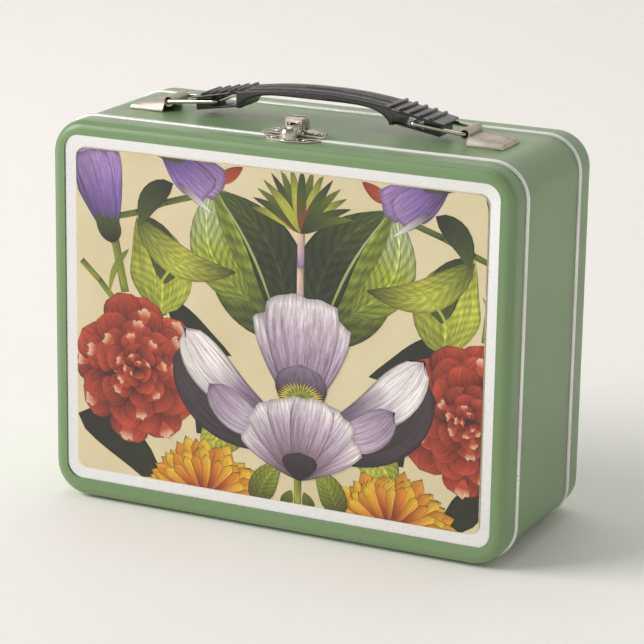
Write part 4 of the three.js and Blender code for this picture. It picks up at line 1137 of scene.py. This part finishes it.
# ---- The carry grip -----------------------------------------------------------------------------
# The grip is moulded in black plastic: a crowned arch with long grooves for the fingers, and a
# sloping plate at each end with five cross ribs, over a slot and foot that hold the wire link.

black_plastic, tree, shader = finish("black_plastic", 0.24, Specular_IOR_Level=0.75)
signs = skin_of(tree, 3200.0, 40.0)
tone = blend_of(tree, signs["Smudges"], colour("19191b"), colour("232425"))
gloss = spread_of(tree, signs["Smudges"], 0, 1, 0.2, 0.32)
dress(tree, shader, tone, gloss, signs["Height"], 0.3, 0.05 * MM)

grip_low, grip_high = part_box("handle_grip")
GRIP_X = (grip_low.x + grip_high.x) / 2
GRIP_Y = (grip_low.y + grip_high.y) / 2
GRIP_HALF = (grip_high.y - grip_low.y) / 2
# The grip's own sizes are in millimetres: places along it, heights above the box, and widths.
GRIP_END, SHOULDER = 61, 34.5
TIP_TOP, SHOULDER_TOP, CREST, CROWN = 8.3, 13.6, 16.2, 2.3
TIP_THICK, TIP_EDGE = 0.9, ((0, 1.3), (0.35, 0.5), (1.2, 0))
FOOT_IN, FOOT_OUT, FOOT_LOW_IN, FOOT_LOW_OUT = 37.5, 59, 5.6, 2.1
PLATE, FOOT_THICK, FOOT_HALF, FOOT_EDGE = 1.2, 1.1, 6.9, 0.4
LEG_IN, LEG_FOOT, ARCH_UNDER = 36, 5.9, 13
SLOT_OUT = 51.2
GROOVES, GROOVE_FADE, GROOVE_STEPS = 0.95, 4, 14
EDGE_STEPS = 4
RIB_FIRST, RIB_PITCH, RIB_COUNT = 36.2, 4.65, 5
RIB_SHAPE = ((-0.75, -0.8), (0.75, -0.8), (0.75, 0.6), (0.45, 1.05), (-0.45, 1.05), (-0.75, 0.6))
RIB_LENGTH = ((-9.3, 0.55), (-9.1, 0.9), (-8.6, 1), (8.6, 1), (9.1, 0.9), (9.3, 0.55))


def top_at(x):
    """The height of the grip's top above the box, at a place along it."""
    far = abs(x)
    if far >= SHOULDER:
        return SHOULDER_TOP - (SHOULDER_TOP - TIP_TOP) * (far - SHOULDER) / (GRIP_END - SHOULDER)
    return CREST - (CREST - SHOULDER_TOP) * (far / SHOULDER) ** CROWN


def arch_under_at(x):
    """The height of the arch's underside, down to the foot of its leg."""
    share = min(1, abs(x) / LEG_IN)
    return LEG_FOOT + (ARCH_UNDER - LEG_FOOT) * (1 - share**5.5) ** 0.75


def grip_section(x, low, high, half, groove=0.0, edge=0.75):
    """A cross-section of the grip: round-edged, crowned, with grooves along its top."""
    edge = min(edge, (high - low) / 2.05)
    turns = [math.pi / 2 * step / EDGE_STEPS for step in range(EDGE_STEPS + 1)]
    side = [(half - edge + edge * math.sin(t), low + edge - edge * math.cos(t)) for t in turns]
    side += [(half - edge + edge * math.cos(t), high - edge + edge * math.sin(t)) for t in turns]
    crown = []
    for step in range(1, GROOVE_STEPS):
        share = 1 - 2 * step / GROOVE_STEPS
        dip = groove * (0.5 - 0.5 * math.cos(share * math.pi * 3))
        crown.append(((half - edge) * share, high + groove * 0.9 * (1 - share**2) - dip))
    outline = side + crown + [(-y, z) for y, z in reversed(side)]
    return [Vector((GRIP_X + x * MM, GRIP_Y + y * MM, WALL_TOP + z * MM)) for y, z in outline]


half = GRIP_HALF / MM
rings = []
for along, tuck in TIP_EDGE:
    x = along - GRIP_END
    low, high = top_at(x) - TIP_THICK + tuck * 0.2, top_at(x) - tuck * 0.15
    rings.append(grip_section(x, low, high, half - tuck))
for x in (-54, -48, -42, -FOOT_IN - 0.05):
    rings.append(grip_section(x, top_at(x) - PLATE, top_at(x), half))
arch = [-FOOT_IN, -36.6, -36, -35.5, -35, -34.2, -33.3, -32.2, -31, -29.5, -28, -26, -23.5]
arch += [-21, -18, -14.5, -11, -7.5, -4]
for x in arch:
    groove = GROOVES * min(1, max(0, (LEG_IN - abs(x)) / GROOVE_FADE))
    low = FOOT_LOW_IN if abs(x) >= LEG_IN else arch_under_at(x)
    rings.append(grip_section(x, low, top_at(x) - groove * 0.2, half, groove))
rings += [[Vector((2 * GRIP_X - p.x, p.y, p.z)) for p in ring] for ring in reversed(rings)]
pieces = [stitched("grip_arch", rings, True)]


def foot_at(x):
    """The height of the foot's underside."""
    fall = (FOOT_LOW_IN - FOOT_LOW_OUT) / (FOOT_OUT - FOOT_IN)
    return FOOT_LOW_IN - fall * (abs(x) - FOOT_IN)


for end in (-1, 1):
    rings = []
    for x in (FOOT_IN - 0.3, 42, 46, SLOT_OUT - 0.05):
        low = foot_at(x)
        rings.append(grip_section(end * x, low, low + FOOT_THICK, FOOT_HALF, edge=FOOT_EDGE))
    for x in (SLOT_OUT, 55, FOOT_OUT - 0.6, FOOT_OUT):
        low = foot_at(x) + (0.4 if x == FOOT_OUT else 0)
        wide = FOOT_HALF - (0.5 if x == FOOT_OUT else 0)
        rings.append(grip_section(end * x, low, top_at(x) - PLATE * 0.6, wide, edge=FOOT_EDGE))
    pieces.append(stitched("grip_foot", rings, True))
    # A cross rib: a rounded bar that laps a little over both edges of the plate.
    slope = math.atan((SHOULDER_TOP - TIP_TOP) / (GRIP_END - SHOULDER))
    rings = []
    for y, size in RIB_LENGTH:
        rings.append([Vector((x * size * MM, y * MM, z * size * MM)) for x, z in RIB_SHAPE])
    rib = stitched("rib_stock", rings, True)
    rib.data.transform(Matrix.Rotation(end * slope, 4, "Y"))
    first = Vector((GRIP_X + end * RIB_FIRST * MM, GRIP_Y, WALL_TOP + top_at(RIB_FIRST) * MM))
    fall = top_at(RIB_FIRST + RIB_PITCH) - top_at(RIB_FIRST)
    row = {"Count": RIB_COUNT, "First": first, "Step": Vector((end * RIB_PITCH * MM, 0, fall * MM))}
    pieces.append(grown("ribs", row_tree, Piece=rib, Metal=black_plastic, **row))
    bpy.data.objects.remove(rib)

grip = joined("carry_grip", pieces, math.radians(34))
belongs(grip, "handle", black_plastic, "black_plastic", "handle_grip")


# ---- The room -----------------------------------------------------------------------------------
# The box stands on a plain pale sweep of card, in soft daylight from a big window at the front
# left, with a little light from above and behind.

card, tree, shader = finish("card", 0.85)
place = put(tree, "ShaderNodeTexCoord").outputs["Object"]
tone = blend_of(tree, noise_of(tree, place, 3.0), colour("fcf9f4"), colour("fdfaf6"))
tree.links.new(tone, shader.inputs["Base Color"])
mesh = bpy.data.meshes.new("card_sweep")
SWEEP_HALF, SWEEP_FRONT, SWEEP_BACK, SWEEP_RISE, SWEEP_ROUND = 4.0, -3.0, 1.6, 3.2, 0.9
SWEEP_STEPS = 12
profile = [(SWEEP_FRONT, 0.0)]
for step in range(SWEEP_STEPS + 1):
    turn = math.pi / 2 * step / SWEEP_STEPS
    profile.append((SWEEP_BACK + SWEEP_ROUND * math.sin(turn), SWEEP_ROUND * (1 - math.cos(turn))))
profile.append((SWEEP_BACK + SWEEP_ROUND, SWEEP_RISE))
points = [(x, y, z) for y, z in profile for x in (-SWEEP_HALF, SWEEP_HALF)]
faces = [(2 * i, 2 * i + 1, 2 * i + 3, 2 * i + 2) for i in range(len(profile) - 1)]
mesh.from_pydata(points, [], faces)
mesh.shade_smooth()
mesh.materials.append(card)
in_scene("card_sweep", mesh)


def lamp(name, place, aim, width, height, power, warmth):
    """A soft box: a rectangle of light that faces the point it is aimed at."""
    light = bpy.data.lights.new(name, "AREA")
    light.shape = "RECTANGLE"
    light.size, light.size_y = width, height
    light.energy, light.color = power, warmth
    made = in_scene(name, light)
    made.location = place
    made.rotation_euler = (Vector(aim) - Vector(place)).to_track_quat("-Z", "Y").to_euler()


lamp("window", (-2.3, -1.4, 1.7), (0, 0, 0.08), 2.0, 1.6, 76, (1, 0.985, 0.96))
lamp("ceiling", (-0.3, 0.5, 2.4), (0, 0, 0.1), 1.6, 1.6, 10, (1, 0.99, 0.97))

world = bpy.data.worlds.new("studio")
world.use_nodes = True
tree = world.node_tree
sky = put(tree, "ShaderNodeTexCoord").outputs["Generated"]
height = put(tree, "ShaderNodeSeparateXYZ", {0: sky}).outputs[2]
glow = blend_of(tree, spread_of(tree, height, 0, 0.75), colour("fffaf2"), colour("8f9498"))
tree.links.new(glow, tree.nodes["Background"].inputs[0])
tree.nodes["Background"].inputs[1].default_value = 0.84
bpy.context.scene.world = world
bpy.context.scene.view_settings.view_transform = "Standard"

AZIMUTH, ELEVATION, ROLL = (math.radians(angle) for angle in (25.1627, 15.9202, 0.9413))
DISTANCE = 1.17905
FOCAL_LENGTH, SENSOR = 154, 36
TARGET = Vector((0.02345, -0.046, 0.0997))
level = math.cos(ELEVATION)
back = Vector((math.sin(AZIMUTH) * level, -math.cos(AZIMUTH) * level, math.sin(ELEVATION)))
right = Vector((0, 0, 1)).cross(back).normalized()
up = back.cross(right)
rolled_right = right * math.cos(ROLL) + up * math.sin(ROLL)
rolled_up = up * math.cos(ROLL) - right * math.sin(ROLL)
stand = Matrix((rolled_right, rolled_up, back)).transposed().to_4x4()
stand.translation = TARGET + back * DISTANCE
lens = bpy.data.cameras.new("camera")
lens.lens, lens.sensor_width = FOCAL_LENGTH, SENSOR
lens.clip_start = 0.05
camera = in_scene("camera", lens)
camera.matrix_world = stand
bpy.context.scene.camera = camera
